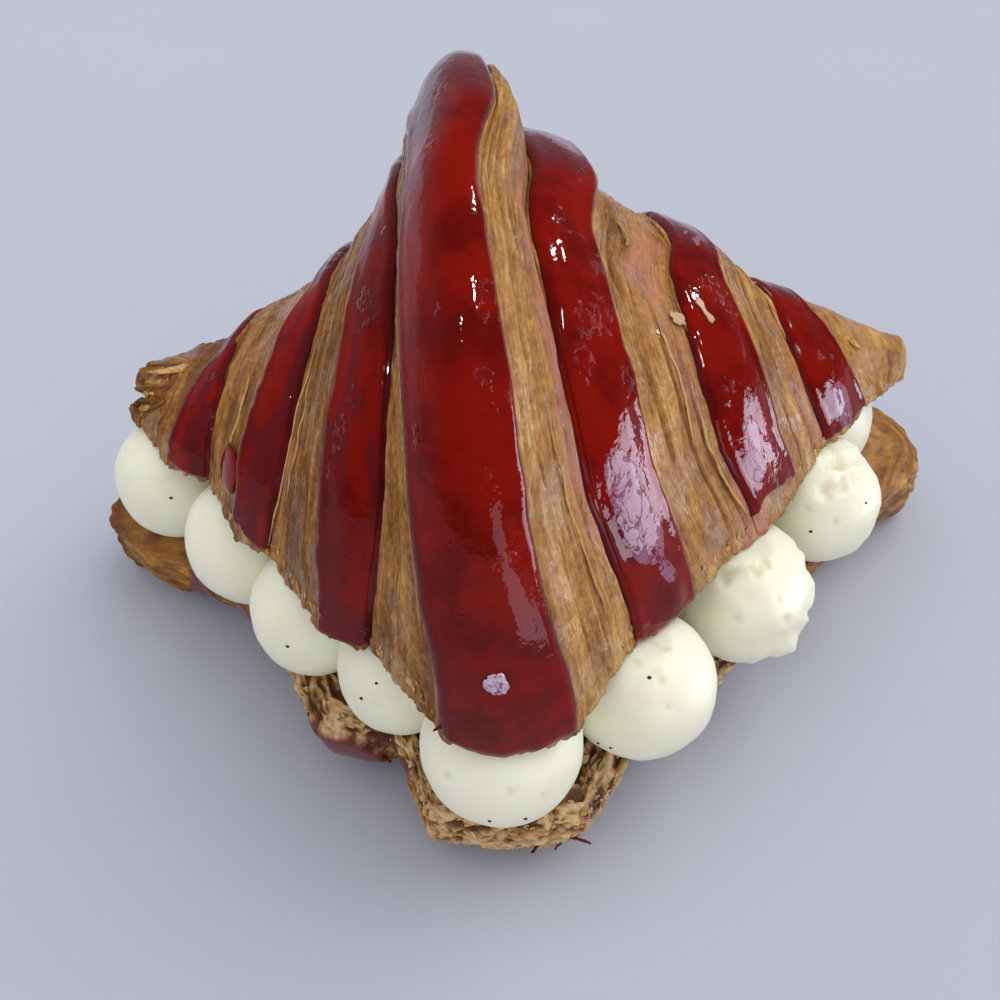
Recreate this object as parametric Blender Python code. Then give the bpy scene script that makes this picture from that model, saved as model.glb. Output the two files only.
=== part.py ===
"""Strawberry croissant: a striped croissant split level, with a row of piped cream between its halves.

Frame: +X to the croissant's right tip, -Y to the blunt front, +Z up, the base lies on Z = 0.
Plan lines are drawn in a drawing frame, and every object is then moved by CENTRE_X and CENTRE_Y, so
that the middle of the whole object's box stands over the origin.
"""

import math

import bmesh
import bpy

MM = 0.001

# Middle of the whole object's box in the drawing frame.
CENTRE_X = 6.59 * MM
CENTRE_Y = -11.03 * MM

# Heights of the two level cuts, and the gap between pieces that touch.
BOTTOM_CUT = 13.5 * MM
TOP_CUT = 34.5 * MM
GAP = 0.3 * MM

# Seven red bands from the left tip to the right one, each by its two edges. An edge has its point on
# the front cut (x and y in mm), its x on the ridge (mm) and its share of the full height. The last
# number is how much the middle of the band rises over its edges.
BANDS = (
    ((-53.0, -7.0, -43.8, 0.180), (-46.0, -10.5, -40.3, 0.225), 0.010),
    ((-39.8, -23.0, -26.4, 0.405), (-34.3, -26.8, -22.4, 0.455), 0.012),
    ((-25.6, -41.5, -15.8, 0.625), (-18.5, -44.8, -12.4, 0.725), 0.015),
    ((-8.1, -59.4, -11.4, 0.825), (8.3, -59.0, -1.0, 0.950), 0.080),
    ((17.6, -45.0, 2.8, 0.765), (26.4, -37.6, 12.4, 0.710), 0.020),
    ((38.2, -25.8, 24.3, 0.510), (46.2, -16.8, 32.8, 0.455), 0.015),
    ((54.4, -5.2, 43.4, 0.280), (63.3, 4.2, 51.2, 0.235), 0.012),
)
# Ends of the top half, given as a band's edge is.
LEFT_TIP = (-59.5, 3.0, -58.5, 0.105)
RIGHT_TIP = (69.5, 9.0, 72.0, 0.085)
# How far the front cut bows out in the middle of a band, for each mm of its width.
FRONT_BOW = 0.12
# How the laminated slopes between the bands fall away from the middle: below 1 they drop at once
# and then level out, above 1 they stay high and then drop.
SLOPE_POWERS = (1.0, 0.8, 1.1, 1.1, 2.6, 0.55, 1.1, 1.0)
# Sideways sway of each seam between the front cut and the ridge, from the left tip on (mm), and the
# turns between which it grows and fades.
SWAYS = (
    0.0, -1.5, -0.3, -1.7, 0.0, -1.1, 1.7, -0.9, -3.8, -2.9, -3.6, -2.9, -1.4, -0.8, -0.3, 0.0,
)
SWAY_GROWS = (0.0, 0.16)
SWAY_FADES = (0.38, 0.50)

# Top half: height over its cut, its reach to each side, and its back cut edge at the middle and at
# the tips.
TOP_HEIGHT = 64.0 * MM
TOP_REACH = {"left": 60.0 * MM, "right": 69.5 * MM}
TOP_BACK = 38.0 * MM
TOP_BACK_TIP = {"left": 16.0 * MM, "right": 21.0 * MM}

# Bottom half: its reach to each side, and its front edge on the cut as rows of a position counted in
# seams, x and y (mm). The edge steps in and out with the rolls and lies under the cream.
BOTTOM_REACH = {"left": 68.5 * MM, "right": 79.0 * MM}
BOTTOM_EDGE = (
    (0.0, -68.5, 0.5),
    (1.0, -61.5, -7.0),
    (2.0, -53.0, -9.8),
    (3.0, -46.5, -14.6),
    (4.0, -40.0, -22.0),
    (4.67, -34.0, -31.0),
    (5.0, -31.0, -38.0),
    (5.5, -27.0, -42.6),
    (6.0, -22.0, -44.0),
    (6.33, -17.0, -44.4),
    (6.67, -13.4, -52.0),
    (7.0, -11.0, -58.4),
    (7.5, 0.0, -60.8),
    (8.0, 10.8, -59.2),
    (8.33, 15.5, -53.0),
    (9.0, 20.0, -46.0),
    (10.0, 31.0, -38.8),
    (11.0, 41.0, -27.0),
    (12.0, 50.5, -16.5),
    (13.0, 60.5, -7.0),
    (14.0, 71.0, 1.0),
    (15.0, 79.0, 8.5),
)
BOTTOM_BACK = 41.0 * MM
BOTTOM_BACK_TIP = {"left": 15.0 * MM, "right": 30.0 * MM}
# How far the bottom half's back edge steps in and out with the bands, for a whole level.
BOTTOM_STEP = 20.0 * MM

# Shape of the sections: where along its arc a section meets the ridge, and how full the arcs are.
RIDGE_SHARE = 0.58
TOP_FULLNESS = 0.85
BOTTOM_FULLNESS = 0.45
BOTTOM_FLAT = 1.16
BACK_POWER = 2.2

# Towards the back the bands spread out again and their steps grow softer.
SPREAD_START = 0.55
SPREAD = 0.65
SPREAD_MIDDLE = 0.60
SPREAD_TIPS = 0.35
SOFTENING = 0.55

# Rounded ends: extra sections past each tip, as (distance out in mm, size).
END_SECTIONS = ((1.8, 0.80), (2.8, 0.45))

ARC_POINTS = 16
BAND_STEPS = 2
SLOPE_STEPS = 3

# Piped cream along the front: name, centre x and y, half length along the row, half width (mm).
FRONT_CREAM = (
    ("cream_left_1", -55.3, 2.2, 10.8, 9.8),
    ("cream_left_2", -40.8, -13.8, 10.0, 9.7),
    ("cream_left_3", -28.7, -29.1, 8.8, 9.6),
    ("cream_left_4", -15.0, -40.3, 8.4, 9.6),
    ("cream_front", -0.9, -53.7, 10.7, 10.8),
    ("cream_right_1", 19.2, -44.7, 10.9, 9.7),
    ("cream_right_2", 37.3, -27.4, 12.6, 10.2),
    ("cream_right_3", 54.2, -7.5, 11.0, 10.2),
    ("cream_right_4", 60.5, 12.6, 8.6, 8.6),
)
# The row goes on along the back on one shallow curve, y = REAR_Y - REAR_BEND * x * x.
REAR_COUNT = 6
REAR_RADIUS = 9.05 * MM
REAR_START_X = -45.4 * MM
REAR_Y = 30.5 * MM
REAR_BEND = 5.4
CREAM_BULGE = 1.06
CREAM_SEGMENTS = 18
CREAM_RINGS = 11

# Cream that fills the middle, inside the ring of piped balls.
CORE_LEFT = -41.0 * MM
CORE_RIGHT = 47.0 * MM
CORE_FRONT = -39.5 * MM
CORE_SLOPE_LEFT = 1.017
CORE_SLOPE_RIGHT = 0.887
CORE_BACK = 20.0 * MM
CORE_STEPS = 18

CRUST_COLOUR = (0.56, 0.30, 0.10)
CREAM_COLOUR = (0.86, 0.86, 0.72)


def clear_scene():
    for thing in list(bpy.data.objects):
        bpy.data.objects.remove(thing, do_unlink=True)


def new_collection(name):
    collection = bpy.data.collections.new(name)
    bpy.context.scene.collection.children.link(collection)
    return collection


def new_material(name, colour, roughness):
    material = bpy.data.materials.new(name)
    material.use_nodes = True
    shader = material.node_tree.nodes["Principled BSDF"]
    shader.inputs["Base Color"].default_value = (*colour, 1.0)
    shader.inputs["Roughness"].default_value = roughness
    shader.inputs["Metallic"].default_value = 0.0
    return material


# Plan and section of the crust -------------------------------------------------------------------


def seams():
    """Edges of all bands in order, each as (front x, front y, ridge x, level), with the two tips."""
    edges = [LEFT_TIP]
    for start, end, _ in BANDS:
        edges += [start, end]
    edges.append(RIGHT_TIP)
    return [(x * MM, y * MM, ridge_x * MM, level) for x, y, ridge_x, level in edges]


SEAMS = seams()


def seam_values(position):
    """Front x, front y, ridge x and level at a position counted in seams from the left tip."""
    index = min(int(position), len(SEAMS) - 2)
    share = position - index
    before, after = SEAMS[index], SEAMS[index + 1]
    front_x, front_y, ridge_x, level = (a + (b - a) * share for a, b in zip(before, after))
    if index % 2 == 1:
        hump = 4.0 * share * (1.0 - share)
        level += BANDS[index // 2][2] * hump
        front_y -= (after[0] - before[0]) * FRONT_BOW * hump
    elif after[3] > before[3]:
        level = after[3] + (before[3] - after[3]) * (1.0 - share) ** SLOPE_POWERS[index // 2]
    else:
        level = before[3] + (after[3] - before[3]) * share ** SLOPE_POWERS[index // 2]
    return front_x, front_y, ridge_x, level


def side_of(front_x):
    return "left" if front_x < 0.0 else "right"


def tip_share(front_x):
    """How far out a section lies, from 0 at the middle to 1 at a tip."""
    return min(1.0, abs(front_x) / TOP_REACH[side_of(front_x)])


def even_level(front_x):
    """Height that a section would have without the steps."""
    return 1.0 - 0.9 * tip_share(front_x)


def back_x_of(front_x, ridge_x):
    """Where a section ends on the back, so that it passes over the ridge at the ridge x."""
    start_share = (1.0 - RIDGE_SHARE) ** 2
    return (ridge_x - start_share * front_x) / (1.0 - start_share)


def back_y_of(front_x, middle_y, tip_y):
    return middle_y + (tip_y[side_of(front_x)] - middle_y) * tip_share(front_x) ** BACK_POWER


def top_plan(position):
    """Front point and back point of the top half's section."""
    front_x, front_y, ridge_x, _ = seam_values(position)
    back_y = back_y_of(front_x, TOP_BACK, TOP_BACK_TIP)
    return (front_x, front_y), (back_x_of(front_x, ridge_x), back_y)


def bottom_front(position):
    """Point on the bottom half's front edge."""
    for before, after in zip(BOTTOM_EDGE, BOTTOM_EDGE[1:]):
        if position <= after[0]:
            break
    share = (position - before[0]) / (after[0] - before[0])
    x = before[1] + (after[1] - before[1]) * share
    y = before[2] + (after[2] - before[2]) * share
    return x * MM, y * MM


def bottom_plan(position):
    """Front point and back point of the bottom half's section."""
    front_x, _, ridge_x, level = seam_values(position)
    side = side_of(front_x)
    scale = BOTTOM_REACH[side] / TOP_REACH[side]
    step = (level - even_level(front_x)) * BOTTOM_STEP * (1.0 - tip_share(front_x))
    back_y = back_y_of(front_x, BOTTOM_BACK, BOTTOM_BACK_TIP) + step
    return bottom_front(position), (back_x_of(front_x, ridge_x) * scale, back_y)


def ease(low, high, value):
    """Runs smoothly from 0 at low to 1 at high."""
    share = max(0.0, min(1.0, (value - low) / (high - low)))
    return share * share * (3.0 - 2.0 * share)


def back_blend(turn):
    """Runs smoothly from 0 near the ridge to 1 at the back."""
    return ease(SPREAD_START, 1.0, turn)


def sway(position, turn):
    """Sideways shift of the top half's skin between its front cut and its ridge."""
    index = min(int(position), len(SWAYS) - 2)
    amount = SWAYS[index] + (SWAYS[index + 1] - SWAYS[index]) * (position - index)
    return amount * MM * ease(*SWAY_GROWS, turn) * (1.0 - ease(*SWAY_FADES, turn))


def across(front, back, turn):
    """Plan point on a section, at a turn from 0 at the front to 1 at the back."""
    x = back[0] + (front[0] - back[0]) * (1.0 - turn) ** 2
    spread_x = front[0] * (SPREAD_MIDDLE + SPREAD_TIPS * tip_share(front[0]) ** 2)
    x += (spread_x - x) * SPREAD * back_blend(turn)
    y = front[1] + (back[1] - front[1]) * (1.0 - math.cos(math.pi * turn)) / 2.0
    return x, y


def top_section(position):
    front, back = top_plan(position)
    level = seam_values(position)[3]
    points = []
    for index in range(ARC_POINTS):
        turn = index / (ARC_POINTS - 1)
        x, y = across(front, back, turn)
        x += sway(position, turn)
        soft_level = level + (even_level(front[0]) - level) * SOFTENING * back_blend(turn)
        rise = max(0.0, math.sin(math.pi * turn)) ** TOP_FULLNESS
        points.append((x, y, TOP_CUT + TOP_HEIGHT * soft_level * rise))
    return points


def bottom_section(position):
    front, back = bottom_plan(position)
    points = []
    for index in range(ARC_POINTS):
        turn = index / (ARC_POINTS - 1)
        x, y = across(front, back, turn)
        drop = BOTTOM_FLAT * max(0.0, math.sin(math.pi * turn)) ** BOTTOM_FULLNESS
        points.append((x, y, BOTTOM_CUT * (1.0 - min(1.0, drop))))
    return points


def stations():
    """Positions of the sections, closer together on the slopes than on the bands."""
    result = []
    for index in range(len(SEAMS) - 1):
        steps = BAND_STEPS if index % 2 == 1 else SLOPE_STEPS
        for step in range(steps):
            result.append(index + step / steps)
    result.append(float(len(SEAMS) - 1))
    return result


def end_sections(section, cut, outward):
    """Shrunken copies of an end section, stepping out past the tip."""
    count = len(section)
    middle_x = sum(point[0] for point in section) / count
    middle_y = sum(point[1] for point in section) / count
    result = []
    for distance, size in END_SECTIONS:
        ring = []
        for x, y, z in section:
            ring_x = middle_x + (x - middle_x) * size + outward * distance * MM
            ring_y = middle_y + (y - middle_y) * size
            ring.append((ring_x, ring_y, cut + (z - cut) * size))
        result.append(ring)
    return result


def loft(name, sections, material, collection):
    """Closed skin over a row of closed sections with equal counts of points."""
    mesh_builder = bmesh.new()
    rings = [[mesh_builder.verts.new(point) for point in section] for section in sections]
    for ring, following in zip(rings, rings[1:]):
        for index in range(len(ring)):
            after = (index + 1) % len(ring)
            mesh_builder.faces.new((ring[index], ring[after], following[after], following[index]))
    mesh_builder.faces.new(rings[0])
    mesh_builder.faces.new(rings[-1])
    bmesh.ops.recalc_face_normals(mesh_builder, faces=mesh_builder.faces)
    return finish_mesh(name, mesh_builder, material, collection)


def finish_mesh(name, mesh_builder, material, collection):
    mesh = bpy.data.meshes.new(name)
    mesh_builder.to_mesh(mesh)
    mesh_builder.free()
    mesh.shade_smooth()
    mesh.set_sharp_from_angle(angle=math.radians(40.0))
    mesh.materials.append(material)
    piece = bpy.data.objects.new(name, mesh)
    collection.objects.link(piece)
    return piece


def crust_half(name, section_at, cut, material, collection):
    rows = [section_at(position) for position in stations()]
    left_end = end_sections(rows[0], cut, -1.0)
    right_end = end_sections(rows[-1], cut, 1.0)
    return loft(name, left_end[::-1] + rows + right_end, material, collection)


# Cream -------------------------------------------------------------------------------------------


def cream_ball(name, centre, half_length, half_width, heading, material, collection):
    """Piped ball pressed flat between the two cuts."""
    low = BOTTOM_CUT + GAP
    high = TOP_CUT - GAP
    middle = (low + high) / 2.0
    half_height = (high - low) / 2.0
    mesh_builder = bmesh.new()
    bmesh.ops.create_uvsphere(
        mesh_builder, u_segments=CREAM_SEGMENTS, v_segments=CREAM_RINGS, radius=1.0
    )
    for vertex in mesh_builder.verts:
        along = vertex.co.x * half_length
        aside = vertex.co.y * half_width
        rise = vertex.co.z * half_height * CREAM_BULGE
        vertex.co.x = centre[0] + along * math.cos(heading) - aside * math.sin(heading)
        vertex.co.y = centre[1] + along * math.sin(heading) + aside * math.cos(heading)
        vertex.co.z = middle + max(-half_height, min(half_height, rise))
    return finish_mesh(name, mesh_builder, material, collection)


def row_heading(index):
    """Direction of the front row at one of its balls, from its neighbours."""
    before = FRONT_CREAM[max(index - 1, 0)]
    after = FRONT_CREAM[min(index + 1, len(FRONT_CREAM) - 1)]
    return math.atan2(after[2] - before[2], after[1] - before[1])


def rear_point(x):
    return x, REAR_Y - REAR_BEND * x * x


def rear_centres():
    """Centres of the rear balls, each one ball and a gap further along the curve."""
    spacing = 2.0 * REAR_RADIUS + GAP
    centres = [rear_point(REAR_START_X)]
    while len(centres) < REAR_COUNT:
        last_x, last_y = centres[-1]
        next_x = last_x + spacing
        for _ in range(20):
            reach_y = rear_point(next_x)[1] - last_y
            next_x = last_x + math.sqrt(spacing * spacing - reach_y * reach_y)
        centres.append(rear_point(next_x))
    return centres


def cream_rows(material, collection):
    pieces = []
    for index, (name, x, y, half_length, half_width) in enumerate(FRONT_CREAM):
        centre = (x * MM, y * MM)
        heading = row_heading(index)
        ball = cream_ball(
            name, centre, half_length * MM, half_width * MM, heading, material, collection
        )
        pieces.append(ball)
    for index, centre in enumerate(rear_centres()):
        name = "cream_rear_{}".format(index + 1)
        ball = cream_ball(name, centre, REAR_RADIUS, REAR_RADIUS, 0.0, material, collection)
        pieces.append(ball)
    return pieces


def cream_core(material, collection):
    """Level slab of cream that fills the middle, as a flat outline with thickness."""
    front_line = []
    back_line = []
    for step in range(CORE_STEPS + 1):
        x = CORE_LEFT + (CORE_RIGHT - CORE_LEFT) * step / CORE_STEPS
        slope = CORE_SLOPE_LEFT if x < 0.0 else CORE_SLOPE_RIGHT
        front_line.append((x, CORE_FRONT + slope * abs(x)))
        back_line.append((x, CORE_BACK - REAR_BEND * x * x))
    outline = front_line + back_line[::-1]
    curve = bpy.data.curves.new("cream_core", "CURVE")
    curve.dimensions = "2D"
    curve.fill_mode = "BOTH"
    curve.extrude = (TOP_CUT - BOTTOM_CUT) / 2.0 - GAP
    spline = curve.splines.new("POLY")
    spline.points.add(len(outline) - 1)
    for point, (x, y) in zip(spline.points, outline):
        point.co = (x, y, 0.0, 1.0)
    spline.use_cyclic_u = True
    curve.materials.append(material)
    piece = bpy.data.objects.new("cream_core", curve)
    piece.location.z = (TOP_CUT + BOTTOM_CUT) / 2.0
    collection.objects.link(piece)
    return piece


def build():
    clear_scene()
    collection = new_collection("strawberry_croissant")
    crust = new_material("baked_crust", CRUST_COLOUR, 0.45)
    cream = new_material("vanilla_cream", CREAM_COLOUR, 0.50)

    pieces = [
        crust_half("crust_bottom", bottom_section, BOTTOM_CUT, crust, collection),
        crust_half("crust_top", top_section, TOP_CUT, crust, collection),
        cream_core(cream, collection),
    ]
    pieces += cream_rows(cream, collection)

    middle = bpy.data.objects.new("croissant_middle", None)
    collection.objects.link(middle)
    for piece in pieces:
        piece.parent = middle
    middle.location = (-CENTRE_X, -CENTRE_Y, 0.0)


build()
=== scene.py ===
import math

import bmesh
import bpy
import numpy as np
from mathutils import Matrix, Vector


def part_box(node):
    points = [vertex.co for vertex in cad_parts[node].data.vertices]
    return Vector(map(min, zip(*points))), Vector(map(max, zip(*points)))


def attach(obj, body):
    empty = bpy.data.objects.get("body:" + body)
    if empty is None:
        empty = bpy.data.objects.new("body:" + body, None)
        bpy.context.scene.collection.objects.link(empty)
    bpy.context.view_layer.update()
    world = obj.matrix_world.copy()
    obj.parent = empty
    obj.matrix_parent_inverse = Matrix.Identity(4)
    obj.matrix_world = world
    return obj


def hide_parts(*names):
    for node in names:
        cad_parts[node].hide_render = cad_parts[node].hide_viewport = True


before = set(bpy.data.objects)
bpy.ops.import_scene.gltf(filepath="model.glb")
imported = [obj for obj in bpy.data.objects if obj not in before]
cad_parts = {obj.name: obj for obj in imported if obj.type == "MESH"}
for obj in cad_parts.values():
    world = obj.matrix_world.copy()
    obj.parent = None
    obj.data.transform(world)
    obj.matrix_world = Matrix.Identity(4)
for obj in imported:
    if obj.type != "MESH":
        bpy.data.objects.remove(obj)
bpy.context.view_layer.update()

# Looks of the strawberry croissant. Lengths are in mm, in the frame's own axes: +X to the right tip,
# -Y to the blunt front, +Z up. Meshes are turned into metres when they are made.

MM = 0.001

# Heights of the two level cuts, from the frame.
BOTTOM_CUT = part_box("crust_bottom")[1].z / MM
TOP_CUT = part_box("crust_top")[0].z / MM

# Plan of the crust, drawn round the middle of the front ball's x and then moved to the frame.
DRAWN_FRONT_BALL = (-0.9, -53.7)

# Seven red bands from the left tip to the right one, each by its two edges. An edge has its point on
# the front cut, its x on the ridge and its share of the full height; then the band's crown.
BANDS = (
    ((-53.0, -7.0, -43.8, 0.180), (-46.0, -10.5, -40.3, 0.225), 0.010),
    ((-39.8, -23.0, -26.4, 0.405), (-34.3, -26.8, -22.4, 0.455), 0.012),
    ((-25.6, -41.5, -15.8, 0.625), (-18.5, -44.8, -12.4, 0.725), 0.015),
    ((-8.1, -59.4, -11.4, 0.825), (8.3, -59.0, -1.0, 0.950), 0.080),
    ((17.6, -45.0, 2.8, 0.765), (26.4, -37.6, 12.4, 0.710), 0.020),
    ((38.2, -25.8, 24.3, 0.510), (46.2, -16.8, 32.8, 0.455), 0.015),
    ((54.4, -5.2, 43.4, 0.280), (63.3, 4.2, 51.2, 0.235), 0.012),
)
LEFT_TIP = (-59.5, 3.0, -58.5, 0.105)
RIGHT_TIP = (69.5, 9.0, 72.0, 0.085)
FRONT_BOW = 0.12
SLOPE_POWERS = (1.0, 0.8, 1.1, 1.1, 2.6, 0.55, 1.1, 1.0)
# Sideways sway of each seam between the front cut and the ridge.
SWAYS = (
    0.0, -1.5, -0.3, -1.7, 0.0, -1.1, 1.7, -0.9, -3.8, -2.9, -3.6, -2.9, -1.4, -0.8, -0.3, 0.0,
)
SWAY_GROWS = (0.0, 0.16)
SWAY_FADES = (0.38, 0.50)

# Top half, then bottom half: reach to the left and right, and the lines of their edges.
TOP_HEIGHT = 64.0
TOP_REACH = (60.0, 69.5)
TOP_BACK = 38.0
TOP_BACK_TIP = (16.0, 21.0)
BOTTOM_REACH = (68.5, 79.0)
# Front edge of the bottom half on its cut: position counted in seams, x and y.
BOTTOM_EDGE = np.array((
    (0.0, -68.5, 0.5), (1.0, -61.5, -7.0), (2.0, -53.0, -9.8), (3.0, -46.5, -14.6),
    (4.0, -40.0, -22.0), (4.67, -34.0, -31.0), (5.0, -31.0, -38.0), (5.5, -27.0, -42.6),
    (6.0, -22.0, -44.0), (6.33, -17.0, -44.4), (6.67, -13.4, -52.0), (7.0, -11.0, -58.4),
    (7.5, 0.0, -60.8), (8.0, 10.8, -59.2), (8.33, 15.5, -53.0), (9.0, 20.0, -46.0),
    (10.0, 31.0, -38.8), (11.0, 41.0, -27.0), (12.0, 50.5, -16.5), (13.0, 60.5, -7.0),
    (14.0, 71.0, 1.0), (15.0, 79.0, 8.5),
))
BOTTOM_BACK = 41.0
BOTTOM_BACK_TIP = (15.0, 30.0)
BOTTOM_STEP = 20.0
RIDGE_SHARE = 0.58
TOP_FULLNESS = 0.85
BOTTOM_FULLNESS = 0.45
BOTTOM_FLAT = 1.16
BACK_POWER = 2.2
SPREAD_START = 0.55
SPREAD = 0.65
SPREAD_MIDDLE = 0.60
SPREAD_TIPS = 0.35
SOFTENING = 0.55
END_LENGTH = 3.0
TIP_TORN = 1.05
# How far past each tip the skin is drawn round its end.
PAST_TIP = 0.97

FRONT_BALLS = (
    "cream_left_1", "cream_left_2", "cream_left_3", "cream_left_4", "cream_front",
    "cream_right_1", "cream_right_2", "cream_right_3", "cream_right_4",
)
REAR_BALLS = tuple("cream_rear_{}".format(number) for number in range(1, 7))


# Random fields ---------------------------------------------------------------


def lattice_value(i, j, k, seed):
    """Even random number from -1 to 1 for each whole-numbered point."""
    mixed = (i * 374761393 + j * 668265263 + k * 362437027 + seed * 1013904223) & 0xFFFFFFFF
    mixed = ((mixed ^ (mixed >> 13)) * 1274126177) & 0xFFFFFFFF
    mixed = mixed ^ (mixed >> 16)
    return mixed / 2147483647.5 - 1.0


def cells_of(*values):
    """The values as arrays of one shape, and the whole-numbered cells that they fall in."""
    spots = np.broadcast_arrays(*(np.asarray(value, float) for value in values))
    return spots, [np.floor(value).astype(np.int64) for value in spots]


def noise(x, y, z=0.0, seed=0):
    """Smooth random field from -1 to 1 that changes over about one unit."""
    spots, cells = cells_of(x, y, z)
    fades = []
    for value, cell in zip(spots, cells):
        part = value - cell
        fades.append(part * part * part * (part * (part * 6.0 - 15.0) + 10.0))
    total = np.zeros(spots[0].shape)
    for corner in range(8):
        steps = (corner & 1, (corner >> 1) & 1, corner >> 2)
        weight = 1.0
        for fade, step in zip(fades, steps):
            weight = weight * (fade if step else 1.0 - fade)
        i, j, k = (cell + step for cell, step in zip(cells, steps))
        total += weight * lattice_value(i, j, k, seed)
    return total


def rough_noise(x, y, z=0.0, seed=0, octaves=3):
    """Noise with finer and weaker noise added to it."""
    total = 0.0
    for octave in range(octaves):
        rate = 2.1 ** octave
        total = total + noise(x * rate, y * rate, z * rate, seed + 17 * octave) * 0.5 ** octave
    return total


def cell_distance(x, y, z, seed):
    """Distance to the nearest of scattered points, one in each unit cell."""
    spots, cells = cells_of(x, y, z)
    nearest = np.full(spots[0].shape, 9.0)
    for step in range(27):
        steps = (step % 3 - 1, step // 3 % 3 - 1, step // 9 - 1)
        near = [cell + move for cell, move in zip(cells, steps)]
        squared = 0.0
        for axis in range(3):
            jitter = 0.5 + 0.45 * lattice_value(*near, seed + 31 * axis)
            squared = squared + (near[axis] + jitter - spots[axis]) ** 2
        nearest = np.minimum(nearest, squared)
    return np.sqrt(nearest)


def ease(low, high, value):
    """Runs smoothly from 0 at low to 1 at high."""
    share = np.clip((value - low) / (high - low), 0.0, 1.0)
    return share * share * (3.0 - 2.0 * share)


def fall(low, high, value):
    """Runs smoothly from 1 at low to 0 at high."""
    return 1.0 - ease(low, high, value)


def window(low, high, soft, value):
    """1 between low and high, fading to 0 round each of them."""
    return ease(low - soft, low + soft, value) * fall(high - soft, high + soft, value)


def evenly(count):
    return np.linspace(0.0, 1.0, count)


def norm(vectors):
    return np.linalg.norm(vectors, axis=-1)


# Form of the crust -----------------------------------------------------------


def frame_shift():
    low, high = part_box("cream_front")
    middle = (low + high) / 2.0 / MM
    return middle.x - DRAWN_FRONT_BALL[0], middle.y - DRAWN_FRONT_BALL[1]


SHIFT_X, SHIFT_Y = frame_shift()
SEAMS = np.array([LEFT_TIP] + [edge for band in BANDS for edge in band[:2]] + [RIGHT_TIP])
LAST = len(SEAMS) - 1
CROWNS = np.array([band[2] for band in BANDS] + [0.0])


def seam_values(position):
    """Front x, front y, ridge x and level at positions counted in seams from the left tip."""
    index = np.clip(np.floor(position).astype(int), 0, LAST - 1)
    share = np.clip(position - index, 0.0, 1.0)
    before, after = SEAMS[index], SEAMS[index + 1]
    values = before + (after - before) * share[..., None]
    front_x, front_y, ridge_x, level = (values[..., axis] for axis in range(4))
    hump = 4.0 * share * (1.0 - share)
    on_band = index % 2 == 1
    power = np.array(SLOPE_POWERS)[index // 2]
    start, end = before[..., 3], after[..., 3]
    rising = end + (start - end) * (1.0 - share) ** power
    falling = start + (end - start) * share ** power
    slope_level = np.where(end > start, rising, falling)
    level = np.where(on_band, level + CROWNS[index // 2] * hump, slope_level)
    bow = (after[..., 0] - before[..., 0]) * FRONT_BOW * hump
    front_y = np.where(on_band, front_y - bow, front_y)
    return front_x, front_y, ridge_x, level


def by_side(pair, front_x):
    return np.where(front_x < 0.0, pair[0], pair[1])


def tip_share(front_x):
    return np.minimum(1.0, np.abs(front_x) / by_side(TOP_REACH, front_x))


def even_level(front_x):
    return 1.0 - 0.9 * tip_share(front_x)


def back_x_of(front_x, ridge_x):
    start_share = (1.0 - RIDGE_SHARE) ** 2
    return (ridge_x - start_share * front_x) / (1.0 - start_share)


def back_y_of(front_x, middle_y, tip_y):
    return middle_y + (by_side(tip_y, front_x) - middle_y) * tip_share(front_x) ** BACK_POWER


def top_plan(position):
    front_x, front_y, ridge_x, _ = seam_values(position)
    back_y = back_y_of(front_x, TOP_BACK, TOP_BACK_TIP)
    return front_x, front_y, back_x_of(front_x, ridge_x), back_y


def bottom_plan(position):
    front_x, _, ridge_x, level = seam_values(position)
    scale = by_side(BOTTOM_REACH, front_x) / by_side(TOP_REACH, front_x)
    step = (level - even_level(front_x)) * BOTTOM_STEP * (1.0 - tip_share(front_x))
    back_y = back_y_of(front_x, BOTTOM_BACK, BOTTOM_BACK_TIP) + step
    edge_x = np.interp(position, BOTTOM_EDGE[:, 0], BOTTOM_EDGE[:, 1])
    edge_y = np.interp(position, BOTTOM_EDGE[:, 0], BOTTOM_EDGE[:, 2])
    return edge_x, edge_y, back_x_of(front_x, ridge_x) * scale, back_y


def back_blend(turn):
    return ease(SPREAD_START, 1.0, turn)


def across(plan, turn):
    """Plan point on a section, at a turn from 0 at the front to 1 at the back."""
    front_x, front_y, back_x, back_y = plan
    x = back_x + (front_x - back_x) * (1.0 - turn) ** 2
    spread_x = front_x * (SPREAD_MIDDLE + SPREAD_TIPS * tip_share(front_x) ** 2)
    x = x + (spread_x - x) * SPREAD * back_blend(turn)
    y = front_y + (back_y - front_y) * (1.0 - np.cos(math.pi * turn)) / 2.0
    return x, y


def sway(position, turn):
    """Sideways shift of the top half's skin between its front cut and its ridge."""
    amount = np.interp(position, np.arange(LAST + 1), SWAYS)
    return amount * ease(*SWAY_GROWS, turn) * fall(*SWAY_FADES, turn)


def arch(turn):
    return np.maximum(0.0, np.sin(math.pi * turn))


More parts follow.
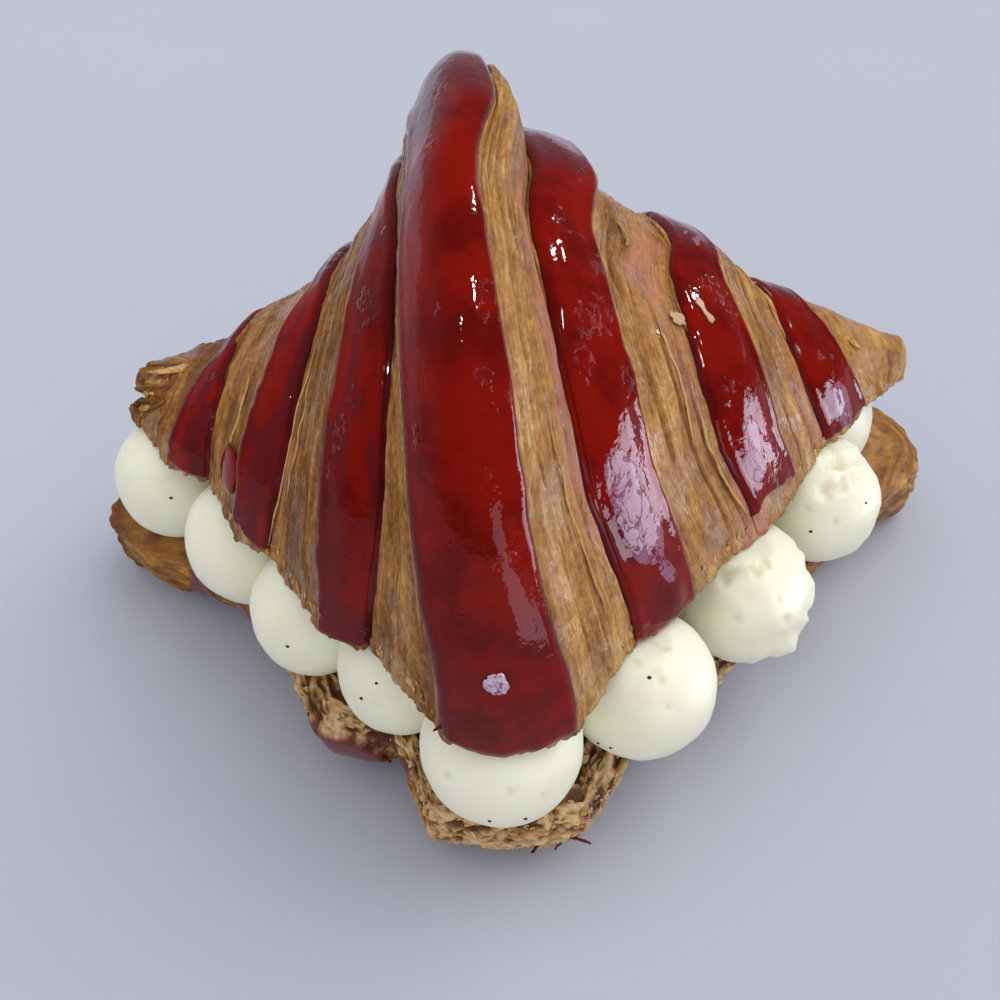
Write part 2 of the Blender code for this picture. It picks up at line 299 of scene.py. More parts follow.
def surface(position, turn, plan_of, height_of, cut, sway_of=None):
    """Places on the skin of one half. Positions past either tip run round its rounded end."""
    position, turn = np.broadcast_arrays(position, turn)
    inside = np.clip(position, 0.0, LAST)
    beyond = np.minimum(np.abs(position - inside), 0.995)
    x, y = across(plan_of(inside), turn)
    if sway_of is not None:
        x = x + sway_of(inside, turn)
    z = height_of(inside, turn)
    size = np.sqrt(1.0 - beyond ** 2)
    for end, outward in ((0.0, -1.0), (float(LAST), 1.0)):
        past = (position < 0.0) if outward < 0.0 else (position > LAST)
        sweep = evenly(16)
        end_x, end_y = across(plan_of(np.full(16, end)), sweep)
        ring_x = end_x.mean() + (x - end_x.mean()) * size + outward * END_LENGTH * beyond
        ring_y = end_y.mean() + (y - end_y.mean()) * size
        x = np.where(past, ring_x, x)
        y = np.where(past, ring_y, y)
    z = cut + (z - cut) * size
    return np.stack((x + SHIFT_X, y + SHIFT_Y, z), axis=-1)


def top_height(position, turn):
    front_x, _, _, level = seam_values(position)
    soft_level = level + (even_level(front_x) - level) * SOFTENING * back_blend(turn)
    return TOP_CUT + TOP_HEIGHT * soft_level * arch(turn) ** TOP_FULLNESS


def bottom_height(position, turn):
    drop = BOTTOM_FLAT * arch(turn) ** BOTTOM_FULLNESS
    return BOTTOM_CUT * (1.0 - np.minimum(1.0, drop))


def torn_tip(position, turn):
    """Moves positions at the left tip inwards where its front is torn away."""
    front = ease(0.08, 0.26, turn) * fall(0.47, 0.60, turn)
    front = front * (1.0 + 0.16 * noise(turn * 17.0, 0.5, seed=95))
    return position + TIP_TORN * front * fall(-1.0, 1.0, position)


def top_surface(position, turn):
    return surface(position, turn, top_plan, top_height, TOP_CUT, sway)


def bottom_surface(position, turn):
    return surface(position, turn, bottom_plan, bottom_height, BOTTOM_CUT)


# Mesh making -----------------------------------------------------------------

# Vertex fields that the materials read.
CRUST_FIELDS = ("tone", "gap", "stain", "along_mm", "across_mm")
CRUMB_FIELDS = ("tone", "gap", "skin", "red")
GLAZE_FIELDS = ("edge", "painted_reflection", "sparkle", "along_mm", "across_mm")


def unit(vectors):
    return vectors / (np.linalg.norm(vectors, axis=-1, keepdims=True) + 1e-9)


def grid_normals(places):
    """Outward directions of a grid of places whose middle rows face up."""
    normals = unit(np.cross(np.gradient(places, axis=1), np.gradient(places, axis=0)))
    rows = len(places)
    if normals[rows // 3:rows // 2, :, 2].mean() < 0.0:
        normals = -normals
    return normals


def soften(values, passes, axis):
    """Averages each value with its neighbours along one axis."""
    count = values.shape[axis]
    for _ in range(passes):
        padded = np.concatenate((values.take([0], axis), values, values.take([-1], axis)), axis)
        before, after = padded.take(range(count), axis), padded.take(range(2, count + 2), axis)
        values = (before + 2.0 * values + after) / 4.0
    return values


def grid_distances(places):
    """Distances from the first row and from the first column, in mm."""
    down = norm(np.diff(places, axis=0, prepend=places[:1]))
    side = norm(np.diff(places, axis=1, prepend=places[:, :1]))
    return np.cumsum(down, axis=0), np.cumsum(side, axis=1)


def zipper(first, second):
    """Triangles between two lines of points that run the same way."""
    faces = []
    i = j = 0
    while i < len(first) - 1 or j < len(second) - 1:
        share_i = (i + 1) / (len(first) - 1)
        share_j = (j + 1) / (len(second) - 1)
        if j == len(second) - 1 or (i < len(first) - 1 and share_i <= share_j):
            faces.append((first[i], first[i + 1], second[j]))
            i += 1
        else:
            faces.append((first[i], second[j + 1], second[j]))
            j += 1
    return faces


def tube_faces(rings):
    """Numbers of the points of a row of closed rings, and the quads between the rings."""
    rows, count = rings.shape[:2]
    index = np.arange(rows * count).reshape(rows, count)
    after = np.roll(index, -1, axis=1)
    quads = np.stack((index[:-1], after[:-1], after[1:], index[1:]), axis=-1)
    return index, quads.reshape(-1, 4).tolist()


def capped_tube(rings):
    """Places and faces of a row of closed rings with a flat face at either end."""
    index, faces = tube_faces(rings)
    return rings.reshape(-1, 3), faces + index[[0, -1]].tolist()


def closed_ball(rings, ends=None):
    """Places and faces of a row of closed rings that meet in a point at either end."""
    index, faces = tube_faces(rings)
    ends = (rings[0].mean(axis=0), rings[-1].mean(axis=0)) if ends is None else ends
    top, bottom = index[-1, -1] + 1, index[-1, -1] + 2
    for i, j in zip(range(index.shape[1]), np.roll(range(index.shape[1]), -1)):
        faces.append((int(index[0, i]), int(index[0, j]), int(top)))
        faces.append((int(index[-1, j]), int(index[-1, i]), int(bottom)))
    return np.concatenate((rings.reshape(-1, 3), ends)), faces


def slab(outer, inner, step):
    """Closed slab between two grids, the inner one with only every step-th column.

    Gives its places, its faces and the grid column that each ring point comes from.
    """
    rows, columns = outer.shape[:2]
    kept = list(range(0, columns - 1, step)) + [columns - 1]
    source = list(range(columns)) + kept[::-1]
    rings = np.concatenate((outer, inner[:, kept[::-1]]), axis=1)
    index, faces = tube_faces(rings)
    for row in (0, rows - 1):
        faces += zipper(list(index[row, :columns]), list(index[row, columns:][::-1]))
    return rings.reshape(-1, 3), faces, source


def make_strip(name, outer, inner, step, material, slot, fields):
    """Piece between two grids, with its fields given on the outer one."""
    places, faces, source = slab(outer, inner, step)
    fields = {field: values[:, source] for field, values in fields.items()}
    make_piece(name, places, faces, material, slot, fields)


def new_object(name, data):
    made = bpy.data.objects.new(name, data)
    bpy.context.scene.collection.objects.link(made)
    return made


def make_piece(name, places, faces, material, slot, fields=None, replaced=()):
    """Smooth mesh piece that rides on the body, with its vertex fields."""
    mesh = bpy.data.meshes.new(name)
    mesh.from_pydata((np.asarray(places) * MM).tolist(), [], faces)
    builder = bmesh.new()
    builder.from_mesh(mesh)
    bmesh.ops.recalc_face_normals(builder, faces=builder.faces)
    builder.to_mesh(mesh)
    builder.free()
    for field, values in (fields or {}).items():
        attribute = mesh.attributes.new(field, "FLOAT", "POINT")
        attribute.data.foreach_set("value", np.asarray(values, np.float32).ravel())
    mesh.shade_smooth()
    mesh.materials.append(material)
    piece = new_object(name, mesh)
    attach(piece, "root")
    if replaced:
        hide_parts(*replaced)


# Materials -------------------------------------------------------------------


class NodeTree:
    """Short ways to add nodes to a tree."""

    def __init__(self, tree):
        self.tree = tree

    def feed(self, socket, value):
        """Sets a socket to a value, or links it to another node's output."""
        if isinstance(value, bpy.types.NodeSocket):
            self.tree.links.new(value, socket)
        else:
            socket.default_value = value

    def node(self, kind, output, inputs, **settings):
        """One output of a new node with these settings and inputs."""
        made = self.tree.nodes.new("ShaderNode" + kind)
        for name, value in settings.items():
            setattr(made, name, value)
        for socket, value in inputs.items():
            self.feed(made.inputs[socket], value)
        return made.outputs[output]

    def span(self, value, low, high, to_low=0.0, to_high=1.0):
        """Runs smoothly from one number to another as the value runs from low to high."""
        ends = {"From Min": low, "From Max": high, "To Min": to_low, "To Max": to_high}
        return self.node("MapRange", "Result", {"Value": value, **ends}, interpolation_type="SMOOTHSTEP")


class Painter(NodeTree):
    """A new material and the nodes that colour it."""

    def __init__(self, name, **sockets):
        self.material = bpy.data.materials.new(name)
        self.material.use_nodes = True
        super().__init__(self.material.node_tree)
        self.paint(**sockets)

    def paint(self, **sockets):
        """Feeds sockets of the shader, named with _ for each space. Gives the material."""
        shader = self.tree.nodes["Principled BSDF"]
        for name, value in sockets.items():
            self.feed(shader.inputs[name.replace("_", " ")], value)
        return self.material

    def field(self, name):
        return self.node("Attribute", "Fac", {}, attribute_name=name)

    def flow(self, across, along):
        """Coordinates that run with the layers, at so many units per mm across and along them."""
        place = {"X": self.field("across_mm"), "Y": self.field("along_mm")}
        spot = self.node("CombineXYZ", "Vector", place)
        return self.node("Mapping", "Vector", {"Vector": spot, "Scale": (across, along, 1.0)})

    def noise(self, vector, scale, detail=3.0, roughness=0.55, distortion=0.0):
        look = {"Scale": scale, "Detail": detail, "Roughness": roughness, "Distortion": distortion}
        return self.node("TexNoise", "Fac", {"Vector": vector, **look})

    def clouds(self, scale, *look):
        """Random field with so many swirls per metre."""
        return self.noise(self.node("TexCoord", "Object", {}), scale, *look)

    def streaks(self, across, along, *look):
        """Random field that is drawn out along the layers."""
        return self.noise(self.flow(across, along), 1.0, *look)

    def warped(self, vector, scale, amount):
        """The vector moved about by soft random swirls."""
        swirl = self.node("TexNoise", "Color", {"Vector": vector, "Scale": scale, "Detail": 2.0})
        inputs = {0: swirl, 1: (amount,) * 3, 2: vector}
        return self.node("VectorMath", "Vector", inputs, operation="MULTIPLY_ADD")

    def cracks(self, vector):
        """Distance to the nearest edge between random cells."""
        inputs = {"Vector": vector, "Scale": 1.0}
        return self.node("TexVoronoi", "Distance", inputs, feature="DISTANCE_TO_EDGE")

    def math(self, operation, first, second):
        return self.node("Math", "Value", {0: first, 1: second}, operation=operation)

    def total(self, value, *terms):
        """A value and others added to it, each with its weight."""
        for term, weight in terms:
            value = self.math("ADD", value, self.math("MULTIPLY", term, weight))
        return value

    def ramp(self, value, stops):
        made = self.tree.nodes.new("ShaderNodeValToRGB")
        elements = made.color_ramp.elements
        while len(elements) < len(stops):
            elements.new(0.5)
        for element, (spot, colour) in zip(elements, stops):
            element.position = spot
            element.color = (*colour, 1.0)
        self.feed(made.inputs["Fac"], value)
        return made.outputs["Color"]

    def mix(self, share, first, second):
        colours = [(*value, 1.0) if isinstance(value, tuple) else value for value in (first, second)]
        return self.node("Mix", 2, {"Factor": share, 6: colours[0], 7: colours[1]}, data_type="RGBA")

    def bump(self, height, strength, distance, below=None):
        inputs = {"Height": height, "Strength": strength, "Distance": distance}
        if below is not None:
            inputs["Normal"] = below
        return self.node("Bump", "Normal", inputs)


# Colours, linear.
CRUST_DARK = (0.185, 0.068, 0.012)
CRUST_MID = (0.350, 0.150, 0.028)
CRUST_GOLD = (0.515, 0.245, 0.044)
CRUST_LIGHT = (0.700, 0.430, 0.135)
CRUST_OCHRE = (0.330, 0.120, 0.012)
# Painted shade between the layers and in the hollows of the crumb.
CREVICE_SHADE = (0.120, 0.042, 0.010)
SYRUP_PINK = (0.540, 0.200, 0.135)
GLAZE_CORE = (0.222, 0.0070, 0.003)
GLAZE_DEEP = (0.118, 0.004, 0.003)
# Painted violet reflection of the pale room on the glaze, also mixed into the red stripes of the lower
# half.
GLAZE_REFLECTION_VIOLET = (0.112, 0.010, 0.014)
# Painted lilac reflection on the glaze: colour of its cracks and of its pale patches, and how much of the
# glaze it covers.
REFLECTION_DIM = (0.320, 0.150, 0.240)
REFLECTION_PALE = (0.410, 0.260, 0.385)
REFLECTION_COVER = 0.54
SUGAR_STOPS = ((0.38, (0.30, 0.06, 0.09)), (0.46, (0.52, 0.38, 0.47)), (0.75, (0.74, 0.66, 0.76)))
CREAM_BASE = (0.940, 0.938, 0.715)
CREAM_SHADE = (0.850, 0.830, 0.600)
CREAM_STAIN = (0.600, 0.450, 0.200)
CRUMB_DARK = (0.140, 0.055, 0.012)
CRUMB_MID = (0.440, 0.225, 0.066)
CRUMB_LIGHT = (0.720, 0.490, 0.235)
SEED_DARK, SEED_LIGHT = (0.006, 0.005, 0.004), (0.030, 0.022, 0.014)
FLAKE_DARK, FLAKE_LIGHT = (0.42, 0.24, 0.10), (0.62, 0.42, 0.23)
FLOOR_DARK, FLOOR_LIGHT = (0.455, 0.484, 0.542), (0.478, 0.507, 0.568)


def crust_material():
    """Baked layers: streaked gold, with painted shade between the layers, thinly glazed with syrup."""
    look = Painter("baked_layers", Coat_Roughness=0.07, Specular_IOR_Level=0.12)
    grain = look.streaks(3.1, 0.62, 4.0, 0.65, 0.9)
    patches = look.clouds(240.0, 4.0, 0.65)
    tone = look.total(
        look.field("tone"), (grain, 0.72), (look.streaks(0.75, 0.10, 2.0, 0.5, 0.5), 0.26),
        (patches, 0.46), (look.clouds(1000.0, 3.0, 0.65), 0.74),
    )
    stops = ((0.14, CRUST_DARK), (0.36, CRUST_MID), (0.57, CRUST_GOLD), (0.86, CRUST_LIGHT))
    colour = look.ramp(look.math("SUBTRACT", tone, 1.04), stops)
    spots = look.streaks(1.1, 0.42, 3.0, 0.6, 0.8)
    colour = look.mix(look.span(spots, 0.53, 0.66, 0.0, 0.62), colour, CRUST_OCHRE)
    stain = look.math("MULTIPLY", look.field("stain"), look.span(patches, 0.30, 0.60, 0.55, 1.0))
    colour = look.mix(stain, colour, SYRUP_PINK)
    fine = look.bump(look.clouds(1500.0, 2.0), 0.35, 0.00012, look.bump(grain, 0.85, 0.00032))
    return look.paint(
        # Painted shade between the layers and in the crevices.
        Base_Color=look.mix(look.field("gap"), colour, CREVICE_SHADE),
        Roughness=look.span(look.clouds(420.0, 2.0, 0.5), 0.35, 0.65, 0.30, 0.60),
        Normal=fine,
        Coat_Weight=look.span(look.clouds(170.0, 3.0, 0.6), 0.42, 0.58, 0.06, 0.80),
        Coat_Normal=look.bump(look.clouds(1100.0, 2.0), 1.0, 0.00060, fine),
    )


def glaze_material():
    """Set strawberry glaze: deep red, with painted violet reflection along its edges and painted lilac
    reflections with a fine crackle.
    """
    look = Painter(
        "strawberry_glaze", Roughness=0.34, Coat_Weight=1.0, Coat_Roughness=0.045, Coat_IOR=1.23,
        Specular_IOR_Level=0.0,
    )
    core = look.mix(look.span(look.clouds(110.0, 4.0, 0.62), 0.32, 0.60), GLAZE_DEEP, GLAZE_CORE)
    # Painted violet reflection: the edge field and long streaks mix the red toward violet.
    violet = look.total(look.field("edge"), (look.streaks(0.55, 0.14, 3.0, 0.6), 0.7))
    body = look.mix(look.span(violet, 0.66, 1.05), core, GLAZE_REFLECTION_VIOLET)
    # Painted lilac reflection in ragged, crackled patches where the field lies.
    share = look.total(look.field("painted_reflection"), (look.streaks(0.50, 0.26, 4.0, 0.60, 0.9), 1.5))
    cracks = look.span(look.cracks(look.warped(look.flow(0.30, 0.13), 2.2, 0.9)), 0.012, 0.040)
    share = look.math("MULTIPLY", look.span(share, 1.15, 1.26), cracks)
    share = look.math("MULTIPLY", share, REFLECTION_COVER)
    crackle = look.span(look.streaks(0.9, 2.2, 3.0, 0.6, 1.5), 0.30, 0.70)
    coat = look.bump(look.clouds(240.0, 2.0, 0.5), 0.30, 0.00030)
    coat = look.bump(look.clouds(700.0, 2.0), 0.35, 0.00020, coat)
    coat = look.bump(share, 0.35, 0.00012, coat)
    scattered = look.span(look.clouds(150.0, 2.0), 0.60, 0.70, 0.0, 0.6)
    where = look.math("MAXIMUM", look.field("sparkle"), scattered)
    beads = look.math("MULTIPLY", look.span(look.clouds(900.0, 2.0), 0.50, 0.72), where)
    return look.paint(
        Base_Color=look.mix(share, body, look.mix(crackle, REFLECTION_DIM, REFLECTION_PALE)),
        Normal=coat,
        Coat_Normal=look.bump(beads, 1.0, 0.0005, coat),
    )


def cream_material():
    """Whipped vanilla cream: ivory, with painted shade in its pits and grooves."""
    look = Painter(
        "vanilla_cream", Roughness=0.46, Subsurface_Weight=0.45, Subsurface_Scale=0.006,
        Specular_IOR_Level=0.35,
    )
    soft = look.span(look.clouds(120.0, 3.0, 0.5), 0.30, 0.55, 0.45, 0.0)
    # Painted shade in the pits and grooves.
    colour = look.mix(look.field("pit_shade"), look.mix(soft, CREAM_BASE, CREAM_SHADE), CREAM_SHADE)
    return look.paint(
        Base_Color=look.mix(look.field("stain"), colour, CREAM_STAIN),
        Normal=look.bump(look.clouds(700.0, 3.0, 0.6), 0.22, 0.00020),
    )


def crumb_material():
    """Bottom half: torn open crumb, browned crust where its skin shows, and red glaze stripes."""
    look = Painter("crumb_and_crust", Roughness=0.50, Coat_Roughness=0.15, Specular_IOR_Level=0.25)
    grain, mottle = look.clouds(420.0, 4.0, 0.65), look.clouds(1000.0, 3.0, 0.65)
    tone = look.total(look.field("tone"), (grain, 0.50), (mottle, 0.50))
    tone = look.math("SUBTRACT", tone, 0.50)
    crumb = look.ramp(tone, ((0.10, CRUMB_DARK), (0.38, CRUMB_MID), (0.72, CRUMB_LIGHT)))
    stops = ((0.08, CRUST_DARK), (0.40, CRUST_MID), (0.66, CRUST_GOLD), (0.98, CRUST_LIGHT))
    colour = look.mix(look.field("skin"), crumb, look.ramp(tone, stops))
    # Painted shade in the hollows of the torn crumb and where a layer steps down.
    colour = look.mix(look.field("gap"), colour, CREVICE_SHADE)
    return look.paint(
        # The red stripes mix the glaze red with the painted violet reflection in random patches.
        Base_Color=look.mix(look.field("red"), colour, look.mix(grain, GLAZE_CORE, GLAZE_REFLECTION_VIOLET)),
        Coat_Weight=look.field("red"),
        Normal=look.bump(mottle, 0.50, 0.0003, look.bump(grain, 0.60, 0.0004)),
    )


def speck_material():
    """Vanilla seeds, nearly black."""
    look = Painter("vanilla_seed", Roughness=0.6)
    return look.paint(Base_Color=look.mix(look.clouds(3000.0), SEED_DARK, SEED_LIGHT))


def sugar_material():
    """Dried sugar film, pale lilac with a fine crackle."""
    look = Painter("sugar_film", Roughness=0.35)
    return look.paint(Base_Color=look.ramp(look.clouds(1500.0, 3.0, 0.6, 1.2), SUGAR_STOPS))


def flake_material():
    """Loose beige flakes of baked pastry."""
    look = Painter("pale_flake", Roughness=0.55)
    return look.paint(Base_Color=look.mix(look.clouds(900.0, 3.0, 0.6), FLAKE_DARK, FLAKE_LIGHT))


def floor_material():
    look = Painter("pale_floor", Roughness=0.90, Specular_IOR_Level=0.0)
    return look.paint(Base_Color=look.mix(look.clouds(9.0, 2.0), FLOOR_DARK, FLOOR_LIGHT))


# Laminated crust -------------------------------------------------------------

# Width of the columns in mm and number of rows, for open strips and for those under a band.
SLOPE_COLUMN, SLOPE_ROWS = 0.20, 205
BED_COLUMN, BED_ROWS = 0.50, 120
# Rows stand closer together near the front cut.
ROW_POWER = 1.12
# Keeps the colour patterns of neighbouring strips and bands apart.
STRIP_OFFSET = 37.0
BAND_OFFSET = 29.0
LAYER_WIDTH = 2.1
# Painted shade: how much darker each interval is painted, from the left tip to the right one, as the left
# slopes face away from the key light.
PAINTED_SHADE_BY_INTERVAL = (0.20,) * 6 + (0.15,) * 2 + (0.0,) * 7
# Length of the frayed ends of the layers at both cuts.
FRINGE_LENGTH = 3.0
# How far the torn ends of the layers stand out of the left tip.
TIP_TEETH = np.array((-1.6, -0.5, 0.3))
SKIN_DEPTH = 1.7
BODY_INSET = 1.0
BODY_STATIONS, BODY_TURNS, BODY_UNDER = 150, 50, 26

# Deep gaps between layers: slope number, share across it at the front and at the ridge, half width
# and depth in mm, and the turns where it starts and ends.
CREVICES = (
    (1, 0.36, 0.26, 0.30, 0.8, 0.03, 0.52),
    (1, 0.72, 0.60, 0.20, 0.5, 0.08, 0.40),
    (2, 0.08, 0.20, 0.34, 1.1, 0.00, 0.50),
    (2, 0.34, 0.40, 0.20, 0.6, 0.02, 0.30),
    (3, 0.62, 0.60, 0.20, 0.5, 0.05, 0.42),
    (4, 0.30, 0.40, 0.22, 0.5, 0.04, 0.38),
    (4, 0.58, 0.55, 0.20, 0.5, 0.00, 0.24),
    (4, 0.80, 0.72, 0.20, 0.5, 0.02, 0.30),
    (5, 0.44, 0.20, 0.32, 1.0, 0.12, 0.55),
    (5, 0.66, 0.60, 0.22, 0.6, 0.03, 0.40),
    (5, 0.86, 0.80, 0.22, 0.7, 0.02, 0.36),
    (6, 0.30, 0.35, 0.22, 0.6, 0.02, 0.50),
    (6, 0.66, 0.60, 0.20, 0.5, 0.03, 0.45),
    (7, 0.40, 0.40, 0.25, 0.5, 0.05, 0.40),
)

# Thin pink syrup on the crust: interval number from the left tip, shares across it and turns that
# it covers, and its strength.
STAINS = (
    (8, 0.72, 1.15, 0.13, 0.46, 0.74),
    (8, 0.62, 1.10, 0.24, 0.34, 0.35),
    (10, 0.42, 0.86, 0.34, 0.50, 0.55),
    (10, 0.62, 0.96, 0.20, 0.34, 0.30),
    (10, 0.84, 1.15, 0.00, 0.10, 0.85),
    (11, -0.10, 0.30, -0.10, 0.08, 0.95),
    (12, 0.66, 1.10, 0.02, 0.30, 0.25),
    (4, -0.10, 0.16, 0.02, 0.40, 0.40),
    (6, -0.10, 0.10, 0.00, 0.20, 0.30),
)


def lamination(share, along, width, seed):
    """Relief in mm, tone and painted shade of the thin baked layers that run along an interval. The tone
    is painted lighter where a layer stands raised.
    """
    across_mm = share * width
    across_mm = across_mm + 0.50 * noise(along / 30.0, across_mm / 5.0, seed=seed)
    across_mm = across_mm + 0.16 * noise(along / 8.0, across_mm / 1.6, seed=seed + 1)
    course = across_mm / LAYER_WIDTH + 0.75 * noise(across_mm / 2.6, along / 60.0, seed=seed + 2)
    layer = np.floor(course + 40.0)
    part = course + 40.0 - layer
    lift = ease(-0.05, 0.75, noise(along / 15.0, layer * 3.7, seed=seed + 3))
    tread = part ** 1.3 * fall(0.90, 1.0, part)

    def grain(wide, long, number):
        return noise(across_mm / wide, along / long, seed=seed + number)

    fibres, threads = grain(0.62, 11.0, 4), grain(0.30, 9.0, 5)
    ridges = 1.0 - np.abs(grain(1.15, 24.0, 6)) * 2.0
    strings = np.clip(1.0 - np.abs(grain(0.48, 7.5, 12)) * 3.2, 0.0, 1.0)
    strings = strings * ease(-0.2, 0.4, grain(2.0, 9.0, 13))
    relief = 0.30 * tread * lift + 0.085 * fibres + 0.05 * threads + 0.05 * ridges
    relief = relief + 0.17 * grain(4.2, 22.0, 7) + 0.22 * strings + 0.12 * grain(1.5, 3.2, 14)
    tone = 0.41 + 0.12 * fibres + 0.09 * threads + 0.16 * strings
    tone = tone + 0.15 * grain(2.3, 30.0, 8) + 0.13 * grain(3.4, 6.5, 9)
    # Painted highlight: the tone is lighter where a layer stands raised.
    tone = tone + 0.14 * (tread * lift - 0.12)
    # Painted shade where a layer drops to the next one and between the fibres.
    drop = ease(0.90, 0.98, part) * ease(0.25, 0.80, lift)
    thin = ease(0.62, 0.95, -fibres) * ease(0.1, 0.5, noise(along / 7.0, layer, seed=seed + 10))
    return relief, tone, 0.50 * drop + 0.22 * thin


def crevice(relief, gap, share, turn, along, width, row, seed):
    """Cuts one deep crevice into the relief, lifts the layer beside it and paints shade into the crevice.
    """
    _, front_share, ridge_share, half_width, depth, start, end = row
    middle = front_share + (ridge_share - front_share) * np.clip(turn / 0.45, 0.0, 1.0)
    middle = middle + 0.035 * noise(along / 14.0, 0.5, seed=seed)
    away = (share - middle) * width
    fade = ease(start - 0.02, start + 0.04, turn) * fall(end - 0.08, end, turn)
    fade = fade * (0.60 + 0.40 * noise(along / 6.0, 4.5, seed=seed + 1))
    pit = np.exp(-((away / half_width) ** 2))
    lip = np.exp(-(((away - 2.2 * half_width) / (1.5 * half_width)) ** 2))
    relief = relief - depth * fade * pit + 0.40 * depth * fade * lip
    return relief, np.maximum(gap, 0.85 * fade * pit)


def stain_of(interval, share, turn, seed):
    stain = np.zeros(share.shape)
    for number, low, high, start, end, strength in STAINS:
        if number != interval:
            continue
        ragged = 0.06 * rough_noise(share * 9.0, turn * 30.0, seed=seed + 5)
        inside = window(low, high, 0.04, share + ragged)
        inside = inside * ease(start - 0.03, start + 0.03, turn + ragged)
        inside = inside * fall(end - 0.06, end + 0.03, turn + ragged)
        stain = np.maximum(stain, strength * inside)
    return stain


def crust_interval(interval, material):
    """One laminated strip of the top half's skin, from seam to seam."""
    on_band = interval % 2 == 1
    first = -PAST_TIP if interval == 0 else float(interval)
    last = LAST + PAST_TIP if interval == LAST - 1 else float(interval + 1)
    start, end = top_surface(np.array([first, last]), np.zeros(2))
    width = np.linalg.norm(end - start)
    column, rows = (BED_COLUMN, BED_ROWS) if on_band else (SLOPE_COLUMN, SLOPE_ROWS)
    share, turn = np.meshgrid(evenly(int(width / column) + 12), evenly(rows) ** ROW_POWER)
    base = top_surface(torn_tip(first + (last - first) * share, turn), turn)
    normals = soften(grid_normals(base), 2, 1)
    along, aside = grid_distances(base)
    seed = 100 + 20 * interval
    # Layers are counted from the side nearer the middle band.
    counted = share if interval > LAST // 2 else 1.0 - share
    relief, tone, gap = lamination(counted, along, width, seed)
    for row_number, row in enumerate(CREVICES):
        if not on_band and row[0] == interval // 2:
            relief, gap = crevice(relief, gap, share, turn, along, width, row, 700 + row_number)
    seam_dip = np.minimum(share, 1.0 - share) * width
    if not on_band:
        relief = relief - 0.25 * fall(0.0, 0.9, seam_dip)
    ends = fall(0.0, FRINGE_LENGTH, np.minimum(along, along[-1:] - along))
    fringe = 0.85 * noise(aside / 2.3, 0.0, seed=seed + 12)
    fringe = fringe + 0.42 * noise(aside / 0.85, 0.0, seed=seed + 13)
    fringe = fringe + 0.24 * noise(aside / 0.38, 0.0, seed=seed + 14)
    flare = 0.30 * (1.0 + noise(aside / 1.1, 7.0, seed=seed + 15))
    relief = relief * (1.0 - 0.4 * ends) + flare * ends
    if interval == 0:
        teeth = noise(turn * 19.0, 0.5, seed=95) + 0.5 * noise(turn * 47.0, 0.5, seed=96)
        teeth = np.clip(teeth, -0.1, 1.0)
        base = base + TIP_TEETH * (teeth * fall(0.0, 0.16, share) * arch(turn))[..., None]
        relief = relief + 0.5 * teeth * fall(0.04, 0.20, share)
    outer = base + normals * relief[..., None]
    outer[..., 2] -= fringe * ends
    inner = base - normals * SKIN_DEPTH
    inner[..., 2] -= fringe * ends * 0.6
    # Intervals left of the middle take their painted shade here.
    tone = tone + 0.02 * ends - PAINTED_SHADE_BY_INTERVAL[interval]
    fields = {
        "tone": tone,
        "gap": np.clip(gap, 0.0, 1.0),
        "stain": stain_of(interval, share, turn, seed),
        "along_mm": along,
        "across_mm": aside + STRIP_OFFSET * interval,
    }
    name = ("glazed_roll_{}" if on_band else "open_layers_{}").format(interval // 2 + 1)
    make_strip(name, outer, inner, 6, material, "crust", fields)


def top_body(material):
    """Closed body under the strips, with its torn underside on the cut."""
    stations = np.linspace(-0.9, LAST + 0.9, BODY_STATIONS)
    turn, position = np.meshgrid(evenly(BODY_TURNS), stations)
    base = top_surface(torn_tip(position, turn), turn)
    normals = grid_normals(np.swapaxes(base, 0, 1))
    normals = np.swapaxes(soften(normals, 2, 0), 0, 1)
    shell = base - normals * BODY_INSET
    shell[..., 2] = np.maximum(shell[..., 2], TOP_CUT + 0.4)
    shares = np.linspace(1.0, 0.0, BODY_UNDER)[1:-1]
    front, back = shell[:, :1], shell[:, -1:]
    under = front + (back - front) * shares[None, :, None]
    open_crumb = rough_noise(under[..., 0] / 2.4, under[..., 1] / 2.4, seed=41)
    under[..., 2] = TOP_CUT + 0.5 + 0.35 * open_crumb
    rings = np.concatenate((shell, under), axis=1)
    places, faces = capped_tube(rings)
    tone = 0.45 + 0.3 * rough_noise(*(places.T / 2.0), seed=43)
    fields = dict.fromkeys(CRUMB_FIELDS, np.zeros(len(places)))
    fields["tone"] = tone
    make_piece("inner_crumb", places, faces, material, "crumb", fields, ("crust_top",))


# Red glaze bands -------------------------------------------------------------

GLAZE_THICK = 0.80
GLAZE_OVERLAP = 0.35
GLAZE_COLUMN = 0.34
GLAZE_ROWS = 230
GLAZE_ROUNDING = 1.1
GLAZE_END_ROUNDING = 0.8
GLAZE_DEPTH = 1.2
# Turns between which a band grows narrower and thinner on its way up.
THIN_TURNS = (0.20, 0.42)
# Each band's lower end: mm above the cut at its left, middle and right, and how deep it scallops.
BAND_ENDS = (
    (1.5, 1.0, 0.8, 0.4), (3.2, 1.4, 0.3, 0.5), (0.4, 0.2, 0.7, 0.5), (0.1, -1.2, 0.3, 0.9),
    (-0.4, 0.3, 0.4, 0.6), (4.6, 6.0, 3.4, 0.8), (0.8, 0.6, 0.4, 0.4),
)
# Painted violet reflection on each band: how much of it lies over the whole band, and how wide it runs
# along the band's left and right edges in mm.
BAND_SHEENS = (
    (0.62, 2.6, 1.6), (0.58, 3.0, 1.8), (0.54, 3.2, 2.0), (0.06, 3.6, 1.6), (0.0, 0.5, 2.2),
    (0.10, 0.6, 1.8), (0.16, 0.8, 1.6),
)
